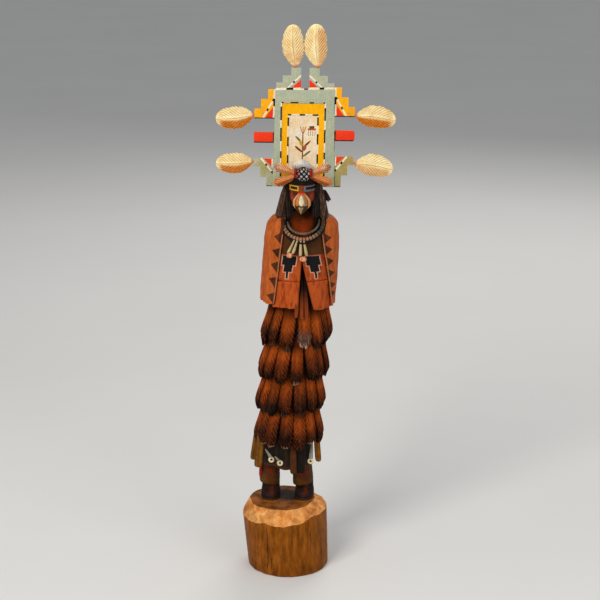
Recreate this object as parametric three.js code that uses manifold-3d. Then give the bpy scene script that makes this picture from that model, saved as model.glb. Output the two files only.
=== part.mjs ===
// Kachina doll: a slender figure carved in one piece from cottonwood root, standing on a section of
// log, with a board headdress (tableta) set in a slot of the head, six carved feathers pegged to the
// board's steps, and a brow bundle of four small feathers round a checkered cluster.
// Millimetres, +Z up. The figure faces -Y. The origin is the centre of the log's underside.
import * as THREE from "three";
import { mergeVertices } from "three/addons/utils/BufferGeometryUtils.js";
import Module from "manifold-3d";

const wasm = await Module();
wasm.setup();

const { smoothstep, lerp, degToRad } = THREE.MathUtils;

// ---------------------------------------------------------------- driving dimensions

const GAP = 0.3; // clearance left between pieces that touch on cut faces

const log = {
  height: 56,
  footRadius: 33.4,
  rimRadius: 35,
  rimHeight: 48, // where the hand-cut chamfer starts
  rimRise: 0.14, // how much higher the chamfer starts for each millimetre towards +X
  topRadius: 26.5,
  topShift: -1.4,
  lean: -3.5, // sideways shift of the top
  sides: 28,
};

const body = {
  leanReach: 13, // how far the figure leans to +X
  leanFrom: 70,
  leanTo: 330,
  depthRatio: 0.8, // front-to-back over side-to-side
  yCentre: 2,
};

const skirt = {
  halfWidth: 24.4, // of the body, in the grooves between feathers
  tipHeights: [109, 136.5, 165, 193.5], // feather tips of each tier, lowest first
  firstAngles: [-3, -6.5, 10, 18], // angle of each tier's first feather from the front, in degrees
  fan: [0, 2, 6, 14], // how far the tips of each tier swing outwards, in degrees
  perTier: 14,
  samples: 5, // facets across one feather
  featherLength: 37,
  featherThickness: 3.3,
  rootLift: -1.5,
  bellyLift: 1.9, // how far a feather's broad part stands off the body
  tipLift: 0.2,
  notch: 8.5, // depth of the notch between two rounded tips
};

const cape = {
  // [half-width, height] from the hem to the neck
  profile: [
    [29.2, 224],
    [30.6, 243],
    [30.6, 260],
    [29.5, 277],
    [27.8, 289],
    [24.5, 294],
    [18, 297],
    [10, 298],
  ],
  sides: 32,
  lapDepth: 1.8, // how far the front panels lie behind the mantle's edges
  edgeTop: { left: -0.5, right: 27.5, z: 290 },
  edgeFoot: { left: -10, right: 37.5, z: 220 },
  slitTop: { x: 12.6, z: 268 },
  slitFoot: { left: 9.3, right: 22.6, z: 218 },
  slitDepth: 7,
};

const head = {
  x: 12.4,
  top: 333,
  chin: 299.5,
  faceHalfWidth: 10.8,
  faceFront: -17.5,
  faceBack: -2,
  jawHeight: 313, // below this the face narrows to the chin
  mouthHalfWidth: 5,
  mouthHeight: 305,
};

const tableta = {
  x: 12.5,
  y: 2.2,
  bottom: 318,
  turn: 5, // degrees about the vertical
  roll: 1, // degrees in its own plane
  height: 76.5,
  halfWidthFoot: 24.2,
  halfWidthTop: 22.8,
  wingThickness: 3,
  frameThickness: 5,
  yellow: { halfWidth: 16.8, bottom: 8, top: 65.7, depth: 0.7 },
  panel: { halfWidth: 11.2, bottom: 14, top: 56.1, depth: 1.4 },
  upperWing: { reach: [5.5, 10.7, 15.7], levels: [76.3, 68.7, 61.3], foot: 53.9 },
  bar: { reach: 15.6, foot: 34.8, top: 43.6 },
  lowerWing: { reach: [15, 10, 5], levels: [16.2, 8, 0], top: 22.6 },
  crown: { halfWidths: [22.4, 17.4, 10.9], levels: [80.9, 86.4, 92.5], inner: 3.2 },
};

const plume = { thickness: 2.6, droop: 1.6 };
// name, quill [u, w] on the board, direction of the tip in degrees from +u, length, half-width
const plumes = [
  ["crown_left", [-7.6, 92.5], 95, 33, 8.4],
  ["crown_right", [9.4, 92.5], 93.4, 33.6, 8.9],
  ["upper_left", [-38.9, 55.6], 187, 30, 8.8],
  ["upper_right", [38.9, 56.4], -6.2, 32, 8.8],
  ["lower_left", [-39.1, 19.2], 184, 29.4, 8.2],
  ["lower_right", [39.1, 18.8], -8, 31, 8.9],
];

const cluster = { x: 13.6, y: -16.6, z: 331.2, radius: 5.5, heightRadius: 6 };
// name, root [x, z], tip [x, z] of the brow feathers
const browFeathers = [
  ["upper_left", [8, 332.2], [-9.8, 336.6]],
  ["upper_right", [19.3, 332.4], [35, 337]],
  ["lower_left", [8.8, 327.4], [-9.8, 322.4]],
  ["lower_right", [18.8, 327.4], [35.8, 323.4]],
];
const browFeather = { rootY: -15.6, tipY: -12.6, halfWidth: 2.9, thickness: 1.5 };

const legs = {
  shoes: [-14.7, 12.2],
  leggings: [-17, 11.4],
  shoeY: [3.4, 5.4],
  y: 7,
  cuffFoot: 67,
  cuffHalfWidth: 8.3,
  ankleHalfWidth: 6.6,
};
const kilt = { x: -0.6, bottom: 85, top: 116, halfWidth: 20.8, halfDepth: 16 };

// ---------------------------------------------------------------- helpers

/** The sideways place of the figure's centre line at height z. */
function leanAt(z) {
  return body.leanReach * smoothstep(z, body.leanFrom, body.leanTo);
}

/** A point of the figure's oval at angle a from the front (+a to the right), height z. */
function onOval(a, z, halfWidth, lift = 0) {
  return new THREE.Vector3(
    leanAt(z) + (halfWidth + lift) * Math.sin(a),
    body.yCentre - (halfWidth * body.depthRatio + lift) * Math.cos(a),
    z,
  );
}

/** Moves every vertex of a geometry by place(vertex). */
function warp(geometry, place) {
  const p = geometry.attributes.position;
  const v = new THREE.Vector3();
  for (let i = 0; i < p.count; i++) {
    v.fromBufferAttribute(p, i);
    const moved = place(v);
    p.setXYZ(i, moved.x, moved.y, moved.z);
  }
  return geometry;
}

/** A closed three.js geometry as a manifold-3d solid. A warp that mirrors it is turned back. */
function solid(geometry) {
  const bare = geometry.clone();
  bare.deleteAttribute("normal");
  bare.deleteAttribute("uv");
  const merged = mergeVertices(bare, 1e-4);
  const vertProperties = merged.attributes.position.array;
  const triVerts = new Uint32Array(merged.index.array);
  const make = () => new wasm.Manifold(new wasm.Mesh({ numProp: 3, vertProperties, triVerts }));
  const made = make();
  if (made.volume() > 0) return made;
  for (let i = 0; i < triVerts.length; i += 3) {
    [triVerts[i + 1], triVerts[i + 2]] = [triVerts[i + 2], triVerts[i + 1]];
  }
  return make();
}

/** Joins solids into one. */
function join(solids) {
  return solids.reduce((whole, one) => whole.add(one));
}

/** A manifold-3d solid as a three.js geometry. */
function geometryOf(made) {
  const mesh = made.getMesh();
  return new THREE.BufferGeometry()
    .setAttribute("position", new THREE.BufferAttribute(mesh.vertProperties, 3))
    .setIndex(new THREE.BufferAttribute(mesh.triVerts, 1));
}

/** A named mesh of one painted or bare wood. */
function piece(name, geometry, color, roughness = 0.6) {
  const material = new THREE.MeshStandardMaterial({ color, roughness, metalness: 0 });
  geometry.computeVertexNormals();
  const mesh = new THREE.Mesh(geometry, material);
  mesh.name = name;
  return mesh;
}

/** A box between two corners, as a solid. */
function block(low, high) {
  const size = new THREE.Vector3().subVectors(high, low);
  const centre = new THREE.Vector3().addVectors(low, high).multiplyScalar(0.5);
  return solid(new THREE.BoxGeometry(size.x, size.y, size.z).translate(...centre));
}

/** A prism of an (x, z) outline, between yBack and yFront. */
function prism(outline, yFront, yBack) {
  const shape = new THREE.Shape(outline.map(([x, z]) => new THREE.Vector2(x, z)));
  const depth = yBack - yFront;
  const geometry = new THREE.ExtrudeGeometry(shape, { depth, bevelEnabled: false });
  return geometry.rotateX(Math.PI / 2).translate(0, yBack, 0);
}

/** An egg with the given centre and radii. */
function egg(centre, radii, around = 12, along = 8) {
  const ball = new THREE.SphereGeometry(1, around, along).rotateX(Math.PI / 2);
  return solid(ball.scale(...radii).translate(...centre));
}

/** A tapered rod from a to b. */
function rod(a, b, radiusA, radiusB, sides = 6) {
  const along = new THREE.Vector3().subVectors(b, a);
  const stick = new THREE.CylinderGeometry(radiusB, radiusA, along.length(), sides);
  const turn = new THREE.Quaternion().setFromUnitVectors(
    new THREE.Vector3(0, 1, 0),
    along.clone().normalize(),
  );
  const middle = new THREE.Vector3().addVectors(a, b).multiplyScalar(0.5);
  return solid(stick.applyQuaternion(turn).translate(...middle));
}

/** Half-width of a leaf shape at t, from its root (0) to its tip (1), as a share of the widest. */
function leafOutline(t, rootShare, tipPower) {
  const root = lerp(rootShare, 1, smoothstep(t, 0, 0.35));
  return root * Math.sqrt(Math.max(0, 1 - t ** tipPower));
}

/**
 * A closed leaf from a sphere: place(s, t, n) gives the point for the sideways share s (-1 to 1),
 * the share t of its length, and the share n of its thickness (-1 to 1).
 */
function leaf(around, along, outline, place) {
  const ball = new THREE.SphereGeometry(1, around, along);
  return warp(ball, (v) => {
    const ring = Math.hypot(v.x, v.z);
    const t = (1 - v.y) / 2;
    const share = ring < 1e-6 ? 0 : outline(t) / ring;
    return place(v.x * share, t, v.z * share);
  });
}

/** A lathe profile of [half-width, height], closed on the axis, bent to the figure's oval. */
function ovalColumn(profile, sides, shrink = 0) {
  const [first, last] = [profile[0], profile[profile.length - 1]];
  const points = [[0, first[1]], ...profile, [0, last[1]]].map(
    ([r, z]) => new THREE.Vector2(Math.max(0, r - (r > 0 ? shrink : 0)), z),
  );
  return solid(
    warp(new THREE.LatheGeometry(points, sides), (v) => {
      const radius = Math.hypot(v.x, v.z);
      const a = Math.atan2(v.x, v.z);
      return onOval(a, v.y, radius);
    }),
  );
}

// ---------------------------------------------------------------- the log

/** A section of log with a hand-cut chamfer, whose edge wanders, leaning a little to -X. */
function makeLog() {
  const profile = [
    [0, 0],
    [log.footRadius - 1, 0],
    [log.footRadius, 1],
    [lerp(log.footRadius, log.rimRadius, 0.6), 26],
    [log.rimRadius, log.rimHeight],
    [log.topRadius, log.height],
    [0, log.height],
  ].map(([r, z]) => new THREE.Vector2(r, z));
  const geometry = warp(new THREE.LatheGeometry(profile, log.sides), (v) => {
    const a = Math.atan2(v.x, v.z);
    const wander = Math.sin(3 * a + 0.6) + 0.7 * Math.sin(7 * a) + 0.5 * Math.sin(11 * a + 2);
    const onRim = v.y === log.rimHeight ? 1 : 0;
    const onTop = v.y === log.height ? 1 : 0;
    const swell = 1 + 0.012 * Math.sin(2 * a + 1) + 0.02 * onTop * Math.sin(5 * a);
    const x = v.x * swell + (log.lean * v.y) / log.height + onTop * log.topShift;
    return new THREE.Vector3(x, -v.z * swell, v.y + onRim * (1.1 * wander + log.rimRise * v.x));
  });
  return piece("plinth_log", geometryOf(solid(geometry)), 0xb8772f, 0.45);
}

// ---------------------------------------------------------------- the figure

/** One tier of skirt feathers: a ring of rounded lobes that bulge, then tuck in at their tips. */
function makeTier(tipHeight, tier) {
  const { perTier, samples, featherLength } = skirt;
  // [share of the full radius, share of the length] from the root's centre down to the tips and back
  const rings = [
    [0, 0],
    [1, 0],
    [1, 0.4],
    [1, 0.8],
    [1, 1],
    [0.85, 0.94],
    [0, 0.94],
  ].map(([share, t]) => new THREE.Vector2(share, -t));
  const first = degToRad(skirt.firstAngles[tier]);
  const pitch = (2 * Math.PI) / perTier;
  const ring = new THREE.LatheGeometry(rings, perTier * samples);
  return solid(
    warp(ring, (v) => {
      const share = Math.hypot(v.x, v.z);
      const t = -v.y;
      const a = share > 0 ? Math.atan2(v.x, v.z) : 0;
      const off = 2 * (a / pitch - Math.round(a / pitch)); // -1 to 1 across one feather
      const swing = degToRad(skirt.fan[tier]) * Math.sin(2 * (a + first)) * t;
      const belly = lerp(skirt.rootLift, skirt.bellyLift, smoothstep(t, 0.1, 0.8));
      const tuck = (skirt.bellyLift - skirt.tipLift) * smoothstep(t, 0.8, 1);
      const lobe = skirt.featherThickness * (1 - Math.abs(off) ** 2.4);
      const rise = skirt.notch * (1 - Math.sqrt(1 - 0.95 * off * off)) * t ** 3;
      const dip = 2.4 * Math.cos(a + first) ** 2 * t; // feathers at the front and back hang lower
      const edge = onOval(
        a + first + swing,
        tipHeight + 1.2 + featherLength * (1 - t) + rise - dip,
        skirt.halfWidth,
        belly - tuck + lobe,
      );
      const centre = new THREE.Vector3(leanAt(edge.z), body.yCentre, edge.z);
      return share < 1e-6 ? centre.setZ(tipHeight + featherLength * (1 - t)) : centre.lerp(edge, share);
    }),
  );
}

/** The feathered skirt: four tiers, each tucked under the one above. */
function makeSkirt() {
  return join(skirt.tipHeights.map(makeTier));
}

/** The mantle with its two front panels, the slit between them and the fringe in the slit. */
function makeCape() {
  const { edgeTop, edgeFoot, slitTop, slitFoot } = cape;
  const opening = prism(
    [
      [edgeFoot.left, edgeFoot.z],
      [edgeFoot.right, edgeFoot.z],
      [edgeTop.right, edgeTop.z],
      [edgeTop.left, edgeTop.z],
    ],
    -40,
    body.yCentre,
  );
  const slit = prism(
    [
      [slitFoot.left, slitFoot.z],
      [slitFoot.right, slitFoot.z],
      [slitTop.x, slitTop.z],
    ],
    -40,
    -cape.profile[0][0] * body.depthRatio + body.yCentre + cape.lapDepth + cape.slitDepth,
  );
  const mantle = ovalColumn(cape.profile, cape.sides).subtract(solid(opening));
  const panels = ovalColumn(cape.profile, cape.sides, cape.lapDepth);
  const fringe = [
    [7.4, 10],
    [12.1, 12.4],
    [16.7, 15],
  ].map(([x, topX]) =>
    rod(new THREE.Vector3(x, -21.4, 216), new THREE.Vector3(topX, -16.5, 252), 2, 1.1, 6),
  );
  return join([mantle.add(panels).subtract(solid(slit)), ...fringe]);
}

/** Head, hair, bare throat, necklaces and the two loops of pendants. */
function makeHead() {
  const y = body.yCentre;
  const column = new THREE.CylinderGeometry(1, 1, head.top - head.chin, 20)
    .rotateX(Math.PI / 2)
    .scale(head.faceHalfWidth + 0.6, head.faceBack - head.faceFront, 1)
    .translate(head.x, head.faceBack, (head.top + head.chin) / 2);
  const shield = prism(
    [
      [head.x - head.mouthHalfWidth, head.mouthHeight],
      [head.x, head.chin],
      [head.x + head.mouthHalfWidth, head.mouthHeight],
      [head.x + head.faceHalfWidth, head.jawHeight],
      [head.x + head.faceHalfWidth, head.top - 3],
      [head.x + head.faceHalfWidth - 4, head.top],
      [head.x - head.faceHalfWidth + 4, head.top],
      [head.x - head.faceHalfWidth, head.top - 3],
      [head.x - head.faceHalfWidth, head.jawHeight],
    ],
    -40,
    6,
  );
  const face = solid(column).intersect(solid(shield));

  // [half-width, height] of the hair, which falls on the shoulders
  const hairProfile = [
    [19, 286],
    [19, 293],
    [17.6, 300],
    [15, 310],
    [12.6, 320],
    [11.6, 328],
    [9, 333.5],
    [4.5, 336.5],
  ].map(([r, z]) => new THREE.Vector2(r, z));
  const hairRing = [new THREE.Vector2(0, 286), ...hairProfile, new THREE.Vector2(0, 336.5)];
  const hair = solid(
    warp(new THREE.LatheGeometry(hairRing, 20), (v) => {
      const behind = v.z < 0 ? 0.9 : 0.62; // flatter in front, where the face is
      return new THREE.Vector3(head.x + v.x, y + 1.5 - v.z * behind, v.y);
    }),
  );
  const hollow = egg([head.x, -16, 298], [11.5, 11.5, 15]);
  const throat = egg([head.x, -7, 289], [12.6, 14.6, 15]);
  const locks = [-1, 1].map((side) =>
    solid(
      leaf(8, 6, (t) => leafOutline(t, 0.5, 12), (s, t, n) => {
        const x = head.x + side * lerp(9.2, 17.8, t) + 3 * s;
        return new THREE.Vector3(x, -6.5 + 3.6 * n, lerp(331, 292.5, t));
      }),
    ),
  );

  const necklace = (halfWidth, drop, tube) => {
    const ring = new THREE.TorusGeometry(1, 0.1, 5, 20);
    return solid(
      warp(ring, (v) => {
        const a = Math.atan2(v.y, v.x);
        const across = (Math.hypot(v.x, v.y) - 1) * 10 * tube;
        const out = v.z * 10 * tube;
        const reach = Math.sin(a);
        return new THREE.Vector3(
          head.x + 1.2 + (halfWidth + across) * Math.cos(a),
          -11.2 - 13.2 * reach - 0.75 * out - 0.66 * across * reach,
          292.6 - (drop + 0.75 * across) * reach + 0.66 * out,
        );
      }),
    );
  };
  const strands = [necklace(12.2, 6.6, 1), necklace(15.6, 11, 1.5), necklace(16.6, 14.4, 0.9)];

  // tops and ends of the pendant strips, in pairs that share a knob
  const strips = [
    [7.6, 2.4, 270],
    [10, 5.8, 269.6],
    [12.4, 12.2, 267.6],
    [14.8, 17, 267.6],
  ].map(([topX, endX, endZ]) =>
    rod(new THREE.Vector3(topX, -24, 280), new THREE.Vector3(endX, -24.6, endZ), 0.9, 1.5),
  );
  const knobs = [
    [3.7, 268.6, 2.2],
    [14.4, 265.8, 2.9],
  ].map(([x, z, reach]) => egg([x, -24.8, z], [reach, 1.6, 1.8], 8, 6));
  const muzzle = egg([head.x, head.faceFront + 1.4, 310.5], [6, 3, 7], 10, 6);
  const earTuft = egg([head.x + 16.6, -2, 312.6], [4.4, 2.6, 4.6], 8, 6);
  return join([hair.subtract(hollow), face, muzzle, throat, earTuft, ...locks, ...strands, ...strips, ...knobs]);
}

/** The y of the kilt's front surface at x, sunk by depth. */
function kiltFront(x, depth = 0) {
  const share = Math.min(0.97, Math.abs((x - kilt.x) / kilt.halfWidth));
  return body.yCentre + 1 - kilt.halfDepth * Math.sqrt(1 - share * share) + depth;
}

/** One leg, 0 or 1 from the left: a moccasin and a legging that flares towards its foot. */
function makeLeg(side) {
  const foot = legs.cuffFoot;
  const cuff = new THREE.LatheGeometry(
    [
      [0, foot],
      [legs.ankleHalfWidth, foot],
      [legs.cuffHalfWidth, foot + 3],
      [legs.cuffHalfWidth, foot + 7],
      [legs.cuffHalfWidth - 1.2, foot + 25],
      [0, foot + 25],
    ].map(([r, z]) => new THREE.Vector2(r, z)),
    14,
  );
  const [x, y] = [legs.shoes[side], legs.shoeY[side]];
  const legging = solid(
    warp(cuff, (v) => {
      const inward = (legs.shoes[side] - legs.leggings[side]) * smoothstep(v.y, foot + 7, foot + 25);
      return new THREE.Vector3(legs.leggings[side] + inward + v.x, legs.y - v.z * 1.05, v.y);
    }),
  );
  const shoe = egg([x, y, 58], [8, 13.4, 8.6], 12, 7);
  const ankle = egg([x, y + 4.5, 64], [7.2, 8.2, 12], 10, 6);
  const below = block(new THREE.Vector3(x - 15, -30, 30), new THREE.Vector3(x + 15, 40, log.height));
  return join([legging, shoe.add(ankle).subtract(below)]);
}

/** Kilt, sash ends, leggings and moccasins. */
function makeLegs() {
  const y = body.yCentre + 1;
  const drum = new THREE.CylinderGeometry(1, 0.94, kilt.top - kilt.bottom, 20).rotateX(Math.PI / 2);
  const parts = [solid(drum.scale(kilt.halfWidth, kilt.halfDepth, 1).translate(kilt.x, y, (kilt.top + kilt.bottom) / 2))];
  parts.push(makeLeg(0), makeLeg(1));

  // leather sash ends: [x at the foot, x at the top, y, half-width, top, bottom]
  const straps = [
    [-28.6, -22.5, 0, 2.8, 126, 89],
    [-24.4, -20, -5, 3.4, 126, 84.5],
    [26, 23, -3, 2.8, 126, 91],
    [-22.6, -21, 3, 1.6, 100, 74],
  ].map(([foot, top, front, half, high, low]) =>
    solid(
      leaf(6, 6, (t) => leafOutline(t, 0.8, 10), (s, t, n) =>
        new THREE.Vector3(lerp(top, foot, t) + half * s, front + 1.7 * n, lerp(high, low, t)),
      ),
    ),
  );
  const apron = rod(new THREE.Vector3(5.6, kiltFront(5.6), 82), new THREE.Vector3(5.4, kiltFront(5.4), 112), 2.7, 2.5, 8);

  // knotted cords of the rain sash: [x and z of the ring, x and z of the cord's upper end]
  const cords = [
    [-12, 93.6, -18, 99.4],
    [-5, 91.8, -8.6, 97],
    [19, 91.6, 19.4, 103],
  ].map(([x, z, endX, endZ]) => {
    const ring = new THREE.TorusGeometry(1.9, 1, 5, 9).rotateX(Math.PI / 2).translate(x, kiltFront(x), z);
    const end = new THREE.Vector3(endX, kiltFront(endX, 0.4), endZ);
    return solid(ring).add(rod(new THREE.Vector3(x, kiltFront(x, 0.4), z + 2.2), end, 1.7, 0.9));
  });
  return join([...parts, ...straps, apron, ...cords]);
}

/** The slot in the head that holds the board, in the board's own frame. */
function boardSlot() {
  const half = 45;
  const front = -tableta.frameThickness / 2 - GAP;
  const back = tableta.frameThickness / 2 + GAP;
  const slot = new THREE.BoxGeometry(2 * half, back - front, 60).translate(0, (front + back) / 2, 30 - GAP);
  return solid(slot.applyMatrix4(boardMatrix()));
}

/** The socket that the brow cluster sits in. */
function browSocket() {
  const { x, y, z, radius, heightRadius } = cluster;
  return egg([x, y, z], [radius + GAP, radius + GAP, heightRadius + GAP]);
}

/** The whole carved figure as one solid. */
function makeFigure() {
  const whole = join([makeSkirt(), makeCape(), makeHead(), makeLegs()]);
  const feathers = browFeathers.map((spec) => browFeatherSolid(spec, GAP));
  const cut = join([boardSlot(), browSocket(), ...feathers]);
  return piece("figure", geometryOf(whole.subtract(cut)), 0x9a4a20, 0.55);
}

// ---------------------------------------------------------------- the headdress

/** Where the board's own frame (u across, w up) stands in the part's frame. */
function boardMatrix() {
  return new THREE.Matrix4()
    .makeTranslation(tableta.x, tableta.y, tableta.bottom)
    .multiply(new THREE.Matrix4().makeRotationZ(degToRad(tableta.turn)))
    .multiply(new THREE.Matrix4().makeRotationY(degToRad(tableta.roll)));
}

/** Half-width of the board's frame at height w. */
function frameHalfWidth(w) {
  return lerp(tableta.halfWidthFoot, tableta.halfWidthTop, w / tableta.height);
}

/** Outline of one side's stepped wings and bar, from the frame outwards, for side -1 or 1. */
function sideOutlines(side) {
  const edge = (w) => frameHalfWidth(w) - 1;
  const at = (reach, w) => [side * (frameHalfWidth(w) + reach), w];
  const { upperWing: up, lowerWing: low, bar } = tableta;
  const upper = [
    [side * edge(up.foot), up.foot],
    at(up.reach[2], up.foot),
    at(up.reach[2], up.levels[2]),
    at(up.reach[1], up.levels[2]),
    at(up.reach[1], up.levels[1]),
    at(up.reach[0], up.levels[1]),
    at(up.reach[0], up.levels[0]),
    [side * edge(up.levels[0]), up.levels[0]],
  ];
  const middle = [
    [side * edge(bar.foot), bar.foot],
    at(bar.reach, bar.foot),
    at(bar.reach, bar.top),
    [side * edge(bar.top), bar.top],
  ];
  const lower = [
    [side * edge(0), 0],
    at(low.reach[2], 0),
    at(low.reach[2], low.levels[1]),
    at(low.reach[1], low.levels[1]),
    at(low.reach[1], low.levels[0]),
    at(low.reach[0], low.levels[0]),
    at(low.reach[0], low.top),
    [side * edge(low.top), low.top],
  ];
  return [upper, middle, lower];
}

/** Outline of one stepped cloud of the crown, for side -1 or 1. */
function crownOutline(side) {
  const { halfWidths, levels, inner } = tableta.crown;
  const foot = tableta.height - 1;
  return [
    [side * inner, foot],
    [side * halfWidths[0], foot],
    [side * halfWidths[0], levels[0]],
    [side * halfWidths[1], levels[0]],
    [side * halfWidths[1], levels[1]],
    [side * halfWidths[2], levels[1]],
    [side * halfWidths[2], levels[2]],
    [side * inner, levels[2]],
  ];
}

/** The board: a thick frame with two sunk fields, thinner stepped wings, bars and crown. */
function makeBoard() {
  const front = -tableta.frameThickness / 2;
  const back = tableta.frameThickness / 2;
  const wingFront = -tableta.wingThickness / 2;
  const wingBack = tableta.wingThickness / 2;
  const { halfWidthFoot: foot, halfWidthTop: top, height } = tableta;
  const frame = solid(prism([[-foot, 0], [foot, 0], [top, height], [-top, height]], front, back));
  const wings = [-1, 1]
    .flatMap((side) => [...sideOutlines(side), crownOutline(side)])
    .map((outline) => solid(prism(outline, wingFront, wingBack)));
  const sunk = [tableta.yellow, tableta.panel].map(({ halfWidth, bottom, top: high, depth }) =>
    block(new THREE.Vector3(-halfWidth, front - 5, bottom), new THREE.Vector3(halfWidth, front + depth, high)),
  );
  const board = join([frame, ...wings]).subtract(join(sunk));
  return piece("tableta_board", geometryOf(board), 0x9aa88a, 0.7);
}

/** Half-width of a plume at t as a share of the widest: a narrow quill, then a long oval. */
function plumeOutline(t) {
  const widest = 0.5;
  if (t > widest) return Math.sqrt(1 - ((t - widest) / (1 - widest)) ** 2.6);
  return lerp(0.1, 1, Math.sin(Math.min(1, t / 0.42) * (Math.PI / 2)) ** 1.3);
}

/** One big carved feather of the board: two slopes that meet in a shaft, front and back. */
function makePlume([name, [u, w], direction, length, halfWidth]) {
  const along = degToRad(direction);
  const geometry = leaf(8, 10, plumeOutline, (s, t, n) => {
    const reach = GAP + (length - GAP) * t;
    const side = s * halfWidth;
    const x = u + reach * Math.cos(along) - side * Math.sin(along);
    const z = w + reach * Math.sin(along) + side * Math.cos(along);
    return new THREE.Vector3(x, (n * plume.thickness) / 2 + plume.droop * (s * s - 0.4), z);
  });
  return piece(`plume_${name}`, geometryOf(solid(geometry)), 0xe8c98a, 0.5);
}

/** One brow feather as a solid, grown by grow where it is used to cut a seat for itself. */
function browFeatherSolid([, root, tip], grow = 0) {
  const from = new THREE.Vector3(root[0], browFeather.rootY, root[1]);
  const to = new THREE.Vector3(tip[0], browFeather.tipY, tip[1]);
  const along = new THREE.Vector3().subVectors(to, from);
  const across = new THREE.Vector3(-along.z, 0, along.x).normalize();
  const out = new THREE.Vector3().crossVectors(along, across).normalize();
  return solid(
    leaf(8, 7, (t) => leafOutline(t, 0.45, 6), (s, t, n) =>
      from
        .clone()
        .addScaledVector(along, t + (grow * (2 * t - 1)) / along.length())
        .addScaledVector(across, s * (browFeather.halfWidth + grow))
        .addScaledVector(out, n * (browFeather.thickness + grow)),
    ),
  );
}

/** The brow bundle: a checkered cluster and four small feathers, each its own piece. */
function makeBrow() {
  const { x, y, z, radius, heightRadius } = cluster;
  const ball = egg([x, y, z], [radius, radius, heightRadius]);
  const socket = browSocket();
  const board = boardSlot();
  const feathers = browFeathers.map((spec) => {
    const made = browFeatherSolid(spec).subtract(socket).subtract(board);
    return piece(`brow_feather_${spec[0]}`, geometryOf(made), 0xd99a6c, 0.5);
  });
  return [piece("brow_cluster", geometryOf(ball), 0x4a3a30, 0.5), ...feathers];
}

// ---------------------------------------------------------------- the doll

const headdress = new THREE.Group();
headdress.applyMatrix4(boardMatrix());
headdress.add(makeBoard(), ...plumes.map(makePlume));

const doll = new THREE.Group();
doll.add(makeLog(), makeFigure(), headdress, ...makeBrow());

export default doll;
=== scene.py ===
"""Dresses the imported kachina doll: carved and painted wood round the fixed frame of the CAD model.

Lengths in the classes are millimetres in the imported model's frame: the origin is the centre of the
log's underside, +Z is up and the figure faces -Y. Heights on the figure are measured from the log's
top. Finished meshes are in metres.
"""

from __future__ import annotations

import logging
import math
import random
from collections.abc import Callable, Iterator, Sequence
from contextlib import contextmanager
from dataclasses import dataclass, field
from enum import Enum

import bmesh
import bpy
import numpy as np
from mathutils import Euler, Matrix, Vector

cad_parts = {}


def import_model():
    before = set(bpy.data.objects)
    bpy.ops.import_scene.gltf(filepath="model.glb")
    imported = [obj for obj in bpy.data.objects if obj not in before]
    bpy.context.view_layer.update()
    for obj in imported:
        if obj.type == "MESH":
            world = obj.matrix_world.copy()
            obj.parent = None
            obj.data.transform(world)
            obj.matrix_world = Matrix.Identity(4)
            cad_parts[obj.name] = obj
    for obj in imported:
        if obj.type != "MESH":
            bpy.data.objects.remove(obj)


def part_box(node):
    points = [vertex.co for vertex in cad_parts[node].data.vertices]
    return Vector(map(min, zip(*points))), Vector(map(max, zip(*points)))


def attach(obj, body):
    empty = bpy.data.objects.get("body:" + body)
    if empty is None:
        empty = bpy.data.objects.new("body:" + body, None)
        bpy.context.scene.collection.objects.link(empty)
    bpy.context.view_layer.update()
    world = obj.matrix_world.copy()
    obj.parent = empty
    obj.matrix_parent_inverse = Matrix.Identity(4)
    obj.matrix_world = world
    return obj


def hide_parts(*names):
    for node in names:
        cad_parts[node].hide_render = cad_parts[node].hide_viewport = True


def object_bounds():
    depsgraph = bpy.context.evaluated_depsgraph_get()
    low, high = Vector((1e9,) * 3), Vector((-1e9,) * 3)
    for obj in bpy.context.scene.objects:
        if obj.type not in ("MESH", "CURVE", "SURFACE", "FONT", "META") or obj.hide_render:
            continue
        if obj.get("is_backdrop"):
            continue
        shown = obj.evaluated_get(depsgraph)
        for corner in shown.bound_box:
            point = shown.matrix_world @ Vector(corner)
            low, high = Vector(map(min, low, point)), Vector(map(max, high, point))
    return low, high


log = logging.getLogger("doll")

MM = 0.001
UP = Vector((0.0, 0.0, 1.0))

Array = np.ndarray
Object = bpy.types.Object
Socket = bpy.types.NodeSocket
Value = Socket | float | tuple
Colour = tuple[float, float, float]


# ---------------------------------------------------------------- paints


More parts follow.
